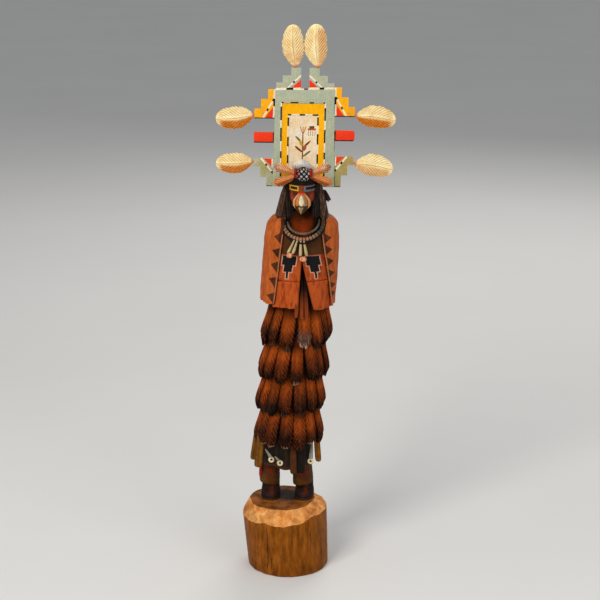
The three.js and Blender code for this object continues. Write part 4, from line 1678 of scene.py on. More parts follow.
@dataclass
class Hair:
    """Hair from the crown to the shoulders, with two locks before them and a tuft at one ear."""

    stance: Stance
    outline: Profile = Profile(
        (
            (1.0, 230.0),
            (18.0, 230.4),
            (19.2, 237.0),
            (17.6, 244.0),
            (15.0, 254.0),
            (12.4, 263.0),
            (10.6, 269.0),
            (7.0, 273.4),
            (3.5, 275.0),
            (0.2, 275.2),
        ),
        0.012,
    )
    centre_y: float = 3.5
    depth_behind: float = 0.9
    depth_before: float = 0.62
    strand_depth: float = 0.5

    def cap(self) -> Object:
        """The hair itself, scored into strands."""
        x_centre = self.stance.head_x

        def form(turn: Array, share: Array) -> Surface:
            """The hair's surface."""
            width, height = self.outline.follow(share)
            wander = turn + 0.05 * waver(height / 12, 2.0)
            strands = (
                self.strand_depth
                * (furrows(wander * 5.1, 1.5) + 0.7 * furrows(wander * 8.3 + 0.4, 2.0) - 0.8)
            )
            width = np.maximum(width - strands * rise(width, 1.0, 8.0), 0.0)
            depth = between(self.depth_behind, self.depth_before, rise(np.cos(turn), -0.3, 0.3))
            x = x_centre + width * np.sin(turn)
            return Surface(self.stance.place(x, self.centre_y - width * depth * np.cos(turn), height))

        return form_ball(new_ball("hair", 300, 110), form)

    def lock(self, name: str, top: tuple[float, ...], foot: tuple[float, ...], root: float = 0.6) -> Object:
        """One lock.

        Args:
            name: of the object.
            top: x, y, height, half-width and half-depth where it starts.
            foot: the same where it ends.
            root: its width at the start, as a share of the widest.

        Returns:
            The lock.
        """
        top_values, foot_values = (np.array(values)[:, None] for values in (top, foot))

        def form(turn: Array, share: Array) -> Surface:
            """The lock's surface."""
            along = 1 - share
            x, y, height, half, deep = between(top_values, foot_values, along)
            width = leaf_width(along, root, 0.5, 22.0)
            strands = 1 - 0.12 * furrows(np.sin(turn) * 1.9 + 0.1 * waver(height / 8, 1.0), 2.0)
            strands -= 0.07 * furrows(np.sin(turn) * 4.1 + 0.3, 2.0)
            ragged = 1.4 * waver(7 * np.sin(turn), 2.0) * rise(along, 0.75, 1.0)
            x, y = x + half * width * np.sin(turn) * strands, y - deep * width * np.cos(turn) * strands
            return Surface(self.stance.place(x, y, height + ragged))

        return form_ball(new_ball(name, 72, 60), form)

    def build(self) -> list[Object]:
        """The hair, its dark inner locks and the streaked outer ones, paler partly from worn paint and
        partly as painted highlight.
        """
        dark = [
            self.cap(),
            self.lock("inner_left", (1.2, -8.0, 268.5, 1.8, 3.2), (3.0, -9.5, 238.5, 4.6, 3.6)),
            self.lock("inner_right", (24.2, -8.0, 268.5, 1.8, 3.2), (22.2, -9.5, 238.5, 4.6, 3.6)),
            self.lock("ear_tuft", (28.6, -3.0, 260.6, 2.6, 2.0), (31.4, -2.6, 251.6, 4.0, 2.2), 0.8),
        ]
        light = [
            self.lock("outer_left", (1.2, -6.0, 272.0, 2.4, 3.4), (-5.6, -6.6, 238.0, 4.7, 4.0), 0.5),
            self.lock("outer_right", (24.6, -6.0, 272.0, 2.4, 3.4), (29.8, -6.6, 238.0, 4.5, 4.0), 0.5),
        ]
        made = [join("hair", dark), join("side_locks", light)]
        for piece in made:
            face_out(piece)
        black = StreakedWood("hair_black", Paint.HAIR_BLACK, Paint.HAIR_BLACK, Paint.HAIR_BROWN)
        # The outer locks are a paler copy of the black hair: partly worn paint, partly painted highlight.
        streaked = StreakedWood("hair_streaked", stretch=(1.1, 1.1, 0.04))
        dress(made[0], black, crease=60.0)
        dress(made[1], streaked, crease=60.0)
        return made


@dataclass
class Mask:
    """The painted mask: framed slit eyes, a ridge between them, a striped muzzle and a short beard.

    Attributes:
        centre_y: front-to-back place of the mask's widest line.
        side_radius: of the rounding towards the sides.
        brow: height at which the hair starts.
        eye_frames, slits: left, right, foot and head of each, with x from the middle of the face.
    """

    stance: Stance
    top: float = 275.0
    chin: float = 243.8
    half_width: float = 10.8
    front_y: float = -17.5
    centre_y: float = -2.0
    side_radius: float = 11.5
    brow: float = 266.7
    eye_frames: tuple[tuple[float, float, float, float], ...] = (
        (-10.8, -2.2, 261.9, 266.1), (1.9, 11.0, 261.6, 266.1)
    )
    slits: tuple[tuple[float, float, float, float], ...] = (
        (-8.8, -3.5, 263.5, 265.1), (3.4, 10.6, 263.4, 265.1)
    )

    def width_at(self, height: Array) -> Array:
        """The mask's half-width at a height."""
        return np.interp(
            height, (243.8, 244.6, 250.0, 255.0, 258.6, 272.0, 275.0), (0.1, 1.2, 6.6, 9.2, 10.7, 10.8, 7.0)
        )

    def muzzle_width(self, height: Array) -> Array:
        """Half-width of the muzzle: pointed under the nose, widest low down, narrow in the beard."""
        return np.interp(height, (243.8, 246.8, 250.2, 254.3, 257.4, 260.2), (1.0, 5.2, 6.5, 6.3, 4.6, 2.4))

    def core_width(self, height: Array) -> Array:
        """Half-width of the muzzle's pale middle: a drop that is widest low down."""
        return np.interp(height, (250.4, 251.6, 253.6, 256.8, 260.0), (0.2, 1.5, 2.0, 1.4, 0.2))

    def relief(self, x: Array, height: Array) -> Array:
        """How far the carving stands proud at a place on the face."""
        proud = 1.1 * bell(x, 0.0, 1.5) * inside(height, 259.4, 268.5, 2.0)
        share, above = np.abs(x) / self.muzzle_width(height), inside(height, self.brow, 280.0, 0.8)
        proud += 2.2 * dome(np.clip(share, 0, 1), 2.4) * inside(height, 244.0, 261.0, 3.0)
        proud += 0.3 * inside(share, 0.84, 1.04, 0.06) * inside(height, 246.8, 260.6, 0.6)
        proud += (
            0.35 * inside(np.abs(x), -1.0, self.core_width(height), 0.5) * inside(height, 250.4, 259.8, 0.6)
        )
        for left, right, low, high in self.eye_frames:
            proud += 0.35 * inside(x, left, right, 0.4) * inside(height, low, high, 0.4)
        for left, right, low, high in self.slits:
            proud -= 0.8 * inside(x, left, right, 0.5) * inside(height, low, high, 0.5)
        proud += (0.9 - 0.35 * furrows(x * 0.62, 2.0)) * above
        beard = inside(height, 240.0, 249.0, 0.8)
        proud += beard * (0.7 - 0.5 * furrows(x * 0.55 + 0.5, 2.0)) * rise(np.abs(x), 8.0, 5.5)
        return proud

    def colours(self, x: Array, height: Array) -> Array:
        """The paint at each place on the face."""
        canvas = Canvas(len(x), Paint.FACE)
        canvas.lay(Paint.CHEEK, 0.8 * inside(np.abs(x), 6.0, 9.8, 2.4) * inside(height, 254.0, 260.4, 2.6))
        canvas.lay(
            Paint.KILT_BROWN, 0.8 * inside(np.abs(x), 2.8, 7.4, 1.2) * inside(height, 258.4, 261.6, 0.7)
        )
        # Painted shade on the sides of the face and on its lower part.
        canvas.lay(Paint.CORE, 0.8 * rise(np.abs(x), 8.6, 10.6) + 0.6 * rise(height, 256.0, 250.0))
        canvas.lay(Paint.NOSE, inside(x, -2.0, 1.9, 0.8) * inside(height, 259.0, 267.4, 0.8))
        for (left, right, low, high), paint in zip(self.eye_frames, (Paint.OCHRE, Paint.SLATE)):
            canvas.lay(paint, inside(x, left, right) * inside(height, low, high))
            middle = (low + high) / 2
            canvas.lay(
                Paint.FACE, inside(x, left + 1.0, right - 1.0) * inside(height, middle - 0.9, middle - 0.5)
            )
        for left, right, low, high in self.slits:
            canvas.lay(Paint.BLACK, inside(x, left, right) * inside(height, low, high))
        share = x / self.muzzle_width(height)
        on_muzzle = inside(height, 250.6, 260.2, 0.4)
        stripes = (
            (Paint.MUZZLE_RED, -1.0, 1.0),
            (Paint.ORANGE, -0.72, -0.38),
            (Paint.MUZZLE_GREEN, 0.3, 0.52),
            (Paint.ORANGE, 0.6, 0.7),
        )
        for paint, left, right in stripes:
            canvas.lay(paint, on_muzzle * inside(share, left, right, 0.08))
        core = self.core_width(height)
        canvas.lay(
            Paint.MUZZLE_GREEN,
            inside(np.abs(x), -1.0, core + 0.55, 0.3) * inside(height, 250.2, 260.2, 0.4),
        )
        canvas.lay(
            Paint.MUZZLE_WHITE, inside(np.abs(x), -1.0, core, 0.4) * inside(height, 250.6, 259.4, 0.4)
        )
        canvas.lay(Paint.MUZZLE_CREAM, 0.5 * inside(x, -0.2, 1.2, 0.6) * inside(height, 251.0, 257.0, 1.0))
        beard = inside(height, 235.0, 250.6, 0.6)
        canvas.lay(Paint.BEARD, beard)
        wedge = (height - 244.0) * 0.34
        canvas.lay(
            Paint.TAN, beard * inside(np.abs(x + 0.4), -1.0, wedge, 0.5) * inside(height, 240.0, 249.6, 0.8)
        )
        canvas.lay(
            Paint.BEARD,
            beard * 0.7 * inside(np.abs(x + 0.2), -1.0, 0.35, 0.3) * inside(height, 246.0, 251.0, 0.8),
        )
        lines = inside(np.abs(share), 0.84, 1.06, 0.07) * inside(height, 246.8, 260.6, 0.6)
        canvas.lay(Paint.MUZZLE_CREAM, lines * between(0.75, 1.0, rise(height, 248.0, 252.0)))
        canvas.lay(Paint.SCARLET, 0.75 * inside(x, -2.7, 2.7, 0.6) * inside(height, 259.2, 261.0, 0.5))
        canvas.lay(Paint.HAIR_BLACK, inside(height, self.brow, 290.0, 0.5))
        return canvas.colours

    def build(self) -> list[Object]:
        """The mask, carved and painted."""

        def form(turn: Array, share: Array) -> Surface:
            """The mask's surface."""
            turn = turn - 0.55 * np.sin(turn)
            side, front = np.sin(turn), np.cos(turn)
            height = between(self.chin, self.top, share)
            width = self.width_at(height) * dome(2 * share - 1, 40)
            x = width * side
            bulge = (self.centre_y - self.front_y) * dome(x / self.side_radius)
            edge = (self.centre_y - self.front_y) * dome(width / self.side_radius)
            y = np.where(
                front > 0, self.centre_y - bulge, self.centre_y - edge + (edge + 2.0) * np.abs(front)
            )
            y -= np.where(front > 0, self.relief(x, height), 0.0) * rise(front, 0.0, 0.25)
            points = self.stance.place(self.stance.head_x + x, y, height)
            return Surface(points, {"paint": self.colours(x, height)})

        made = form_ball(new_ball("mask", 320, 240), form)
        face_out(made)
        wood = PaintedWood("mask_paint", mottle=0.16, grain=0.1, relief=0.06)
        return [dress(made, wood, crease=60.0)]


@dataclass
class Collar:
    """The bare throat, three strands of necklace, the lowest near black and partly painted shadow under the
    beads, and the shell pendants.
    """

    stance: Stance
    centre_shift: float = 1.2
    height: float = 236.6

    def loop(self, angle: Array, half_width: float, drop: float, across: Array, out: Array) -> Array:
        """Points on a strand that rests on the chest.

        Args:
            angle: round the strand, a quarter turn at its lowest front point.
            half_width: of the loop.
            drop: how far its front hangs below its height.
            across: outwards in the strand's plane.
            out: away from the chest.

        Returns:
            The points.
        """
        reach = np.sin(angle)
        x = self.stance.head_x + self.centre_shift + (half_width + across) * np.cos(angle)
        y = -11.2 - 13.2 * reach - 0.75 * out - 0.66 * across * reach
        return self.stance.place(x, y, self.height - (drop + 0.75 * across) * reach + 0.66 * out)

    def strand(self, name: str, half_width: float, drop: float, radius: float) -> Object:
        """A smooth strand, from a torus."""
        torus = {"major_segments": 96, "minor_segments": 14, "major_radius": 1.0, "minor_radius": 0.25}
        ring = added(name, bpy.ops.mesh.primitive_torus_add, **torus)
        corners = corners_of(ring)
        angle = np.arctan2(corners[:, 1], corners[:, 0])
        across = (np.hypot(corners[:, 0], corners[:, 1]) - 1) * 4 * radius
        points = self.loop(angle, half_width, drop, across, corners[:, 2] * 4 * radius)
        canvas = Canvas(len(angle), Paint.STONE_GREEN)
        canvas.lay(Paint.STONE_GREY, rise(np.sin(angle), -0.2, 0.7))
        # Dark bands between segments, and painted shade on the side against the chest.
        canvas.lay(
            Paint.CORE,
            0.8 * furrows(angle * 30 / (2 * np.pi), 14.0) + 0.5 * bell(corners[:, 2] * 4, -0.9, 0.5),
        )
        return give_form(ring, canvas.on(points))

    def beads(self, half_width: float, drop: float, radius: float, count: int) -> Object:
        """A strand of short tube beads."""
        blank = new_ball("bead_blank", 14, 10)
        draw = random.Random(5)
        made = []
        for number in range(count):
            centre = 2 * math.pi * number / count
            swell = radius * draw.uniform(0.9, 1.08)
            shade = draw.uniform(0.0, 0.35)

            def form(
                turn: Array,
                share: Array,
                centre: float = centre,
                swell: float = swell,
                shade: float = shade,
            ) -> Surface:
                """One bead's surface, its hole along the strand."""
                along = (share - 0.5) * 2
                girth = dome(np.abs(along), 5) * swell
                angle = centre + along * 0.47 * 2 * math.pi / count
                points = self.loop(angle, half_width, drop, girth * np.sin(turn), girth * np.cos(turn))
                canvas = Canvas(len(turn), Paint.STONE_GREEN)
                low = math.sin(centre) - 0.3 * math.cos(centre)
                canvas.lay(Paint.STONE_TAN, np.full(len(turn), float(rise(low, 0.15, 0.85)) - shade))
                return canvas.on(points)

            made.append(form_ball(copy_of(blank, f"bead_{number}"), form))
        discard(blank)
        return join("necklace_beads", made)

    def throat(self) -> Object:
        """The bare throat between the hair and the necklaces."""

        def form(turn: Array, share: Array) -> Surface:
            """The throat's surface."""
            ring = np.sin(share * np.pi) ** 0.7
            x = 14.6 * ring * np.sin(turn)
            height = 233.0 - 14.0 * np.cos(share * np.pi)
            deep = between(18.6, 10.0, rise(height, 222.0, 247.0)) * ring
            front = deep * np.sign(np.cos(turn)) * np.abs(np.cos(turn)) ** 0.75
            canvas = Canvas(len(turn), Paint.THROAT)
            canvas.lay(Paint.MUZZLE_RED, 0.6 * bell(x, 1.5, 2.6) * bell(height, 229.0, 7.0))
            # Painted shade on the sides of the throat and under the chin.
            canvas.lay(Paint.CORE, rise(np.abs(x - 0.4) - (height - 226.0) * 0.1, 4.4, 9.0))
            canvas.lay(Paint.CORE, 0.8 * rise(height, 235.0, 242.0))
            return canvas.on(self.stance.place(self.stance.head_x + x, -3.6 - front, height))

        return form_ball(new_ball("throat", 64, 48), form)

    def pendants(self) -> Object:
        """Four strips in two pairs, each pair ending in a knot of shell."""
        blank = new_ball("pendant_blank", 20, 28)
        strips = ((7.4, 2.2, 214.2), (9.8, 5.9, 213.6), (12.3, 12.0, 211.8), (14.6, 17.0, 211.9))
        made = []
        for number, (top_x, end_x, end_height) in enumerate(strips):

            def form(turn: Array, share: Array, ends: tuple = (top_x, end_x, end_height)) -> Surface:
                """One strip's surface."""
                along = 1 - share
                width = leaf_width(along, 0.6, 0.9, 18.0)
                x = between(ends[0], ends[1], along) + 1.45 * width * np.sin(turn)
                y = between(-24.2, -23.9, along) - 1.1 * width * np.cos(turn)
                height = between(225.0, ends[2], along)
                canvas = Canvas(len(turn), Paint.STRIP)
                canvas.lay(Paint.PLUME_PALE, 0.35 * bell(np.sin(turn), -0.3, 0.3))
                # Painted shade on the strip's sides, between the strips.
                canvas.lay(Paint.LEATHER_DARK, 0.8 * rise(np.abs(np.sin(turn)), 0.7, 1.0))
                return canvas.on(self.stance.place(x, y, height))

            made.append(form_ball(copy_of(blank, f"strip_{number}"), form))
        for number, (x, height, reach) in enumerate(((3.7, 212.7, 2.4), (14.4, 209.9, 2.9))):

            def form(turn: Array, share: Array, knot: tuple = (x, height, reach)) -> Surface:
                """One knot's surface."""
                ring = np.sin(share * np.pi)
                lump = 1 + 0.1 * np.sin(3 * turn) * ring + 0.07 * np.sin(9 * share)
                px = knot[0] + knot[2] * ring * np.sin(turn) * lump
                py = -24.6 - 1.7 * ring * np.cos(turn) * lump
                canvas = Canvas(len(turn), Paint.SHELL)
                canvas.lay(Paint.BROW_STAIN, 0.6 * furrows(np.sin(turn) * 0.8 + 0.5, 6.0))
                return canvas.on(self.stance.place(px, py, knot[1] - 1.9 * np.cos(share * np.pi) * lump))

            made.append(form_ball(copy_of(blank, f"knot_{number}"), form))
        discard(blank)
        return join("pendants", made)

    def build(self) -> list[Object]:
        """Throat, strands and pendants, dressed."""
        made = [
            self.throat(),
            self.strand("necklace_inner", 12.2, 6.6, 0.9),
            self.beads(15.6, 11.0, 1.55, 38),
            self.strand("necklace_outer", 16.8, 14.2, 0.9),
            self.pendants(),
        ]
        for piece in made:
            face_out(piece)
            dress(piece, PaintedWood("collar_paint", mottle=0.2, sheen=(0.34, 0.55)))
        made[0].data.materials[0] = PaintedWood("throat_stain_and_shade", sheen=(0.6, 0.8), gloss=0.02).material()
        # The lowest strand is near black, partly as painted shadow under the beads.
        made[3].data.materials[0] = PaintedWood("string_and_shadow_paint", Paint.CORE, sheen=(0.4, 0.6)).material()
        return made


# ---------------------------------------------------------------- kilt, leggings and moccasins


@dataclass
class Legs:
    """Kilt, sashes, leather ends, knotted cords, leggings and moccasins."""

    stance: Stance
    kilt_x: float = -0.6
    kilt_y: float = 3.0
    kilt_width: float = 20.8
    kilt_depth: float = 16.0
    kilt_foot: float = 28.0
    kilt_top: float = 62.0

    def kilt_front(self, x: float) -> float:
        """The y of the kilt's front at x."""
        share = min(0.97, abs((x - self.kilt_x) / self.kilt_width))
        return self.kilt_y - self.kilt_depth * math.sqrt(1 - share * share)

    def kilt(self) -> Object:
        """The kilt, with soft pleats and a hem that rises over each leg."""

        def form(turn: Array, share: Array) -> Surface:
            """The kilt's surface."""
            height = between(self.kilt_foot, self.kilt_top, share)
            closed = dome(2 * share - 1, 30)
            pleats = 1 + 0.028 * waver(9 * turn, 2.0) * rise(share, 0.9, 0.2)
            flare = between(1.0, 0.93, share) * pleats * closed
            x = self.kilt_x + self.kilt_width * flare * np.sin(turn)
            y = self.kilt_y - self.kilt_depth * flare * np.cos(turn)
            hem = 2.2 * bell(np.abs(np.sin(turn)), 0.55, 0.3) * rise(share, 0.3, 0.0)
            canvas = Canvas(len(turn), Paint.KILT)
            canvas.lay(Paint.KILT_BROWN, 0.75 * rise(height - hem, 34.0, 30.0))
            canvas.lay(Paint.KILT_BROWN, 0.35 * furrows(turn * 2.4, 6.0))
            return canvas.on(self.stance.place(x, y, height + hem))

        return form_ball(new_ball("kilt", 160, 60), form)

    def strip(
        self, name: str, top: tuple[float, ...], foot: tuple[float, ...], paints: tuple[Paint, Paint]
    ) -> Object:
        """A flat hanging strip of leather or cloth.

        Args:
            name: of the object.
            top: x, y, height and half-width where it starts.
            foot: the same where it ends.
            paints: of its middle and of its edges.

        Returns:
            The strip.
        """
        top_values, foot_values = (np.array(values)[:, None] for values in (top, foot))

        def form(turn: Array, share: Array) -> Surface:
            """The strip's surface."""
            along = 1 - share
            x, y, height, half = between(top_values, foot_values, along)
            width = leaf_width(along, 0.8, 0.4, 30.0)
            side = np.sin(turn)
            fold = 0.5 * bell(side, -0.1, 0.25) * rise(along, 0.2, 0.8)
            canvas = Canvas(len(turn), paints[0])
            canvas.lay(paints[1], 0.8 * rise(np.abs(side), 0.55, 1.0) + 0.7 * bell(side, -0.1, 0.14))
            depth = 1.4 * width * np.cos(turn) - fold * (np.cos(turn) > 0)
            return canvas.on(self.stance.place(x + half * width * side, y - depth, height))

        return form_ball(new_ball(name, 40, 48), form)

    def sashes(self) -> Object:
        """The leather ends at the sides, the red ribbon, the apron and its dark neighbour."""
        leather = (Paint.LEATHER, Paint.LEATHER_DARK)
        front = self.kilt_front
        parts = [
            self.strip("strap_0", (-23.2, -0.5, 70.0, 2.6), (-28.4, -0.6, 33.0, 3.0), leather),
            self.strip("strap_1", (-20.4, -5.0, 70.0, 3.0), (-24.0, -6.0, 28.5, 3.6), leather),
            self.strip(
                "strap_2",
                (22.8, -3.6, 70.0, 2.4),
                (25.4, -4.0, 34.0, 2.6),
                (Paint.LEATHER, Paint.LEGGING_RED),
            ),
            self.strip(
                "red_ribbon",
                (-21.6, 1.6, 44.0, 1.3),
                (-23.0, 1.4, 17.5, 1.2),
                (Paint.WRAP, Paint.MUZZLE_RED),
            ),
            self.strip(
                "apron",
                (5.2, front(5.2) - 0.2, 58.0, 2.5),
                (5.6, front(5.6) - 0.6, 26.0, 2.9),
                (Paint.SASH, Paint.LEATHER_DARK),
            ),
            self.strip(
                "dark_end",
                (10.6, front(10.6) + 0.4, 58.0, 3.4),
                (11.2, front(11.2) - 0.2, 26.0, 3.8),
                (Paint.KILT, Paint.CORE),
            ),
        ]
        return join("sash_ends", parts)

    def cords(self) -> Object:
        """The knotted cords of the rain sash, each ending in a ring."""
        ends = ((-12.6, 37.6, -17.8, 45.2), (-5.4, 35.8, -9.6, 41.0), (19.3, 36.4, 19.9, 51.0))
        parts = []
        for number, (x, height, end_x, end_height) in enumerate(ends):
            front = min(self.kilt_front(x) - 0.7, -9.0)
            ring = added(
                f"ring_{number}",
                bpy.ops.mesh.primitive_torus_add,
                location=(x * MM, front * MM, (self.stance.foot + height) * MM),
                rotation=(math.pi / 2, 0, 0),
                major_segments=28,
                minor_segments=12,
                major_radius=1.7 * MM,
                minor_radius=0.85 * MM,
            )
            bpy.ops.object.transform_apply(location=True, rotation=True)
            give_form(ring, Canvas(len(ring.data.vertices), Paint.RING).on(corners_of(ring) / MM))
            paints = (Paint.CORD, Paint.STONE_GREEN)
            top = (end_x, self.kilt_front(end_x) - 0.3, end_height, 0.9)
            parts += [ring, self.strip(f"cord_{number}", top, (x, front, height + 1.6, 1.9), paints)]
        return join("rain_cords", parts)

    def legging(self, name: str, x: float, y: float, lean: float) -> Object:
        """One legging, flaring to its foot, with a red patch down the front."""

        def form(turn: Array, share: Array) -> Surface:
            """The legging's surface."""
            height = between(10.6, 38.0, share)
            width = np.interp(height, (10.6, 11.4, 16.0, 24.0, 38.0), (7.4, 8.2, 8.5, 7.9, 7.2))
            closed = dome(2 * share - 1, 30)
            creases = 1 + 0.02 * waver(height / 2.4 + 2 * turn, 1.0) + 0.015 * waver(7 * turn, 4.0)
            px = x + lean * rise(height, 14.0, 34.0) + width * closed * creases * np.sin(turn)
            py = y - width * 1.04 * closed * creases * np.cos(turn)
            slope = 0.14 * (px - x) * math.copysign(1.0, -lean) * rise(share, 0.5, 0.0)
            canvas = Canvas(len(turn), Paint.LEGGING)
            canvas.lay(Paint.LEATHER_DARK, 0.6 * rise(np.cos(turn - 0.7), 0.3, 1.0))
            canvas.lay(Paint.LEGGING_RED, 0.9 * bell(turn, 0.1, 0.5) * bell(height, 24.0, 7.0))
            canvas.lay(Paint.CORE, 0.6 * bell(np.abs(turn - 1.9), 0.0, 0.12))
            return canvas.on(self.stance.place(px, py, height + slope))

        return form_ball(new_ball(name, 64, 44), form)

    def moccasin(self, name: str, x: float, y: float) -> Object:
        """One moccasin: a rounded toe, a seam above the sole and the ankle's wrap."""

        def form(turn: Array, share: Array) -> Surface:
            """The moccasin's surface."""
            height = between(-0.2, 17.0, share)
            length = np.interp(
                height, (-0.2, 0.6, 3.0, 6.0, 9.0, 12.0, 17.0), (12.6, 13.3, 13.4, 11.6, 8.4, 7.4, 7.2)
            )
            width = np.interp(height, (-0.2, 0.6, 3.0, 6.0, 9.0, 17.0), (7.2, 7.9, 8.1, 7.8, 7.3, 7.1))
            back = np.interp(height, (0.0, 9.0, 17.0), (0.0, 3.4, 4.6))
            closed = dome(2 * share - 1, 40)
            seam = 0.35 * bell(height, 2.2, 0.5)
            px = x + (width - seam) * closed * np.sin(turn)
            py = y + back - (length - seam - 2.2 * (np.cos(turn) > 0)) * closed * np.cos(turn)
            canvas = Canvas(len(turn), Paint.SHOE)
            canvas.lay(Paint.SHOE_SOLE, 0.8 * rise(height, 2.4, 1.6))
            canvas.lay(Paint.CORE, 0.8 * bell(height, 2.3, 0.4))
            canvas.lay(Paint.THROAT, 0.6 * bell(turn, 0.2, 0.25) * inside(height, 4.0, 12.0, 3.0))
            return canvas.on(self.stance.place(px, py, height))

        return form_ball(new_ball(name, 72, 56), form)

    def build(self) -> list[Object]:
        """Everything below the skirt, dressed."""
        made = [
            self.kilt(),
            self.sashes(),
            self.cords(),
            join(
                "leggings", [self.legging("left", -15.6, 6.6, 1.0), self.legging("right", 12.0, 7.0, -0.6)]
            ),
            join("moccasins", [self.moccasin("left", -14.6, 3.4), self.moccasin("right", 13.2, 5.2)]),
        ]
        for piece in made:
            face_out(piece)
            dress(piece, PaintedWood("leg_paint", mottle=0.3, grain=0.2, relief=0.14))
        return made


# ---------------------------------------------------------------- the headdress


@dataclass
class Tableta:
    """The board headdress: a frame with two sunk fields, stepped wings, bars and a stepped crown.

    Attributes:
        turn, roll: of the board, to the side that it faces and in its own plane.
        half_foot, half_top: half-width of the frame at its foot and at its top.
        field_shift: sideways place of the two sunk fields.
        yellow, panel: half-width, foot, head and depth of each field.
        top_breaks: shares of the top edge where its paint changes.
        upper_steps, bar, lower_steps: reach from the frame, foot and head of each row of a side.
        crown_steps, crown_inner: reach from the middle, foot and head of each row, and where they start.
        rises: how much higher the wings of a side sit than their rows say.
    """

    site: Site
    node: str = "tableta_board"
    turn: float = math.radians(5.0)
    roll: float = math.radians(1.0)
    height: float = 76.5
    half_foot: float = 24.2
    half_top: float = 22.8
    frame_thickness: float = 5.0
    wing_thickness: float = 3.0
    field_shift: float = -1.1
    yellow: tuple[float, float, float, float] = (16.4, 8.0, 65.4, 0.7)
    panel: tuple[float, float, float, float] = (11.0, 14.0, 55.9, 0.7)
    upper_steps: tuple[tuple[float, float, float], ...] = (
        (15.7, 53.9, 61.3), (10.7, 61.3, 68.7), (5.5, 68.7, 76.3)
    )
    bar: tuple[float, float, float] = (15.6, 34.9, 43.0)
    lower_steps: tuple[tuple[float, float, float], ...] = (
        (15.0, 16.2, 22.6), (10.0, 8.0, 16.2), (5.0, 0.0, 8.0)
    )
    crown_steps: tuple[tuple[float, float, float], ...] = (
        (22.4, 75.5, 80.9), (17.4, 80.9, 86.4), (10.9, 86.4, 92.5)
    )
    crown_inner: float = 3.2
    top_breaks: tuple[float, ...] = (0.18, 0.3, 0.48, 0.55, 0.74, 0.82)
    rises: dict[Side, float] = field(default_factory=lambda: {Side.LEFT: -0.7, Side.RIGHT: 1.4})

    @property
    def origin(self) -> Vector:
        """Where the board's own frame stands: the middle of its foot."""
        centre, low = self.site.centre(self.node), self.site.low(self.node)
        lean = math.sin(self.roll) * (self.upper_steps[0][2] + self.lower_steps[0][1]) / 2
        sag = math.sin(self.roll) * (self.half_foot + self.lower_steps[-1][0])
        return Vector(
            (centre.x - lean * math.cos(self.turn), centre.y - lean * math.sin(self.turn), low.z + sag)
        )

    @property
    def matrix(self) -> Matrix:
        """From the board's own frame, in millimetres, to the part's."""
        turned = Euler((0.0, self.roll, self.turn)).to_matrix().to_4x4()
        return Matrix.Translation(self.origin) @ turned

    def half_width(self, height: float) -> float:
        """Half-width of the frame at a height on the board."""
        return self.half_foot + (self.half_top - self.half_foot) * height / self.height

    def field_sides(self, half: float, margin: float = 0.0) -> tuple[float, float]:
        """The left and right side of a sunk field, with a margin beyond them."""
        return self.field_shift - half - margin, self.field_shift + half + margin

    def slab(
        self, name: str, low: tuple[float, float], high: tuple[float, float], thickness: float
    ) -> Object:
        """A block between two corners in (u, w), in the board's own millimetres."""
        centre = ((low[0] + high[0]) / 2, 0.0, (low[1] + high[1]) / 2)
        made = added(name, bpy.ops.mesh.primitive_cube_add, size=1.0, location=centre)
        made.scale = (abs(high[0] - low[0]), thickness, abs(high[1] - low[1]))
        bpy.ops.object.transform_apply(location=True, scale=True)
        return made

    def stepped(
        self, name: str, side: Side, rows: Sequence[tuple[float, float, float]], inner: float | None
    ) -> Object:
        """A stepped wing, welded from one block for each row.

        Args:
            name: of the object.
            side: of the board.
            rows: reach, foot and head of each row.
            inner: where the rows start, or None at the frame's edge, from which they then reach.

        Returns:
            The wing.
        """
        sign, blocks, overlap = side.value, [], 0.02
        for number, (reach, low, high) in enumerate(rows):
            start = self.half_width((low + high) / 2) - 1.0 if inner is None else inner
            end = reach if inner is not None else self.half_width((low + high) / 2) + reach
            corners = (sign * start, low - overlap), (sign * end, high + overlap)
            blocks.append(self.slab(f"{name}_{number}", *corners, self.wing_thickness))
        wing = blocks[0]
        for block in blocks[1:]:
            apply_modifier(wing, "BOOLEAN", operation="UNION", object=block, solver="EXACT")
            discard(block)
        wing.name = name
        return wing

    def round_end(self, bar: Object) -> None:
        """Rounds the two outer corners of a bar."""
        reach = max(vertex.co.x for vertex in bar.data.vertices)

        def at_corner(edge: bmesh.types.BMEdge) -> bool:
            """Whether an edge runs through the bar at one of its outer corners."""
            first, second = (vertex.co for vertex in edge.verts)
            return min(first.x, second.x) > reach - 0.01 and abs(first.y - second.y) > 1.0

        with editing(bar):
            select(bar, "EDGE", at_corner)
            bpy.ops.mesh.bevel(offset=1.9, segments=6, affect="EDGES")

    def raised(
        self, rows: Sequence[tuple[float, float, float]], side: Side, foot_too: bool = True
    ) -> tuple:
        """The rows shifted by the side's own rise, the board's lowest edge staying level."""
        shift = self.rises[side]
        return tuple(
            (reach, low + (shift if foot_too or low > 0 else 0.0), high + shift)
            for reach, low, high in rows
        )

    def frame(self) -> Object:
        """The frame: a tapered slab with two fields sunk one inside the other."""
        board = self.slab(
            "board_frame", (-self.half_foot, 0.0), (self.half_foot, self.height), self.frame_thickness
        )
        taper = self.half_top / self.half_foot
        for vertex in board.data.vertices:
            if vertex.co.z > self.height / 2:
                vertex.co.x *= taper
        front = -self.frame_thickness / 2
        for index, (half, low, high, depth) in enumerate((self.yellow, self.panel), start=1):
            left, right = self.field_sides(half)

            def at_front(face: bmesh.types.BMFace) -> bool:
                """Whether a face lies in the plane that the field is sunk into."""
                return face.normal.y < -0.9 and abs(face.calc_center_median().y - front) < 0.01

            def in_field(face: bmesh.types.BMFace) -> bool:
                """Whether a face lies in that plane and in the field."""
                middle = face.calc_center_median()
                return at_front(face) and left < middle.x < right and low < middle.z < high

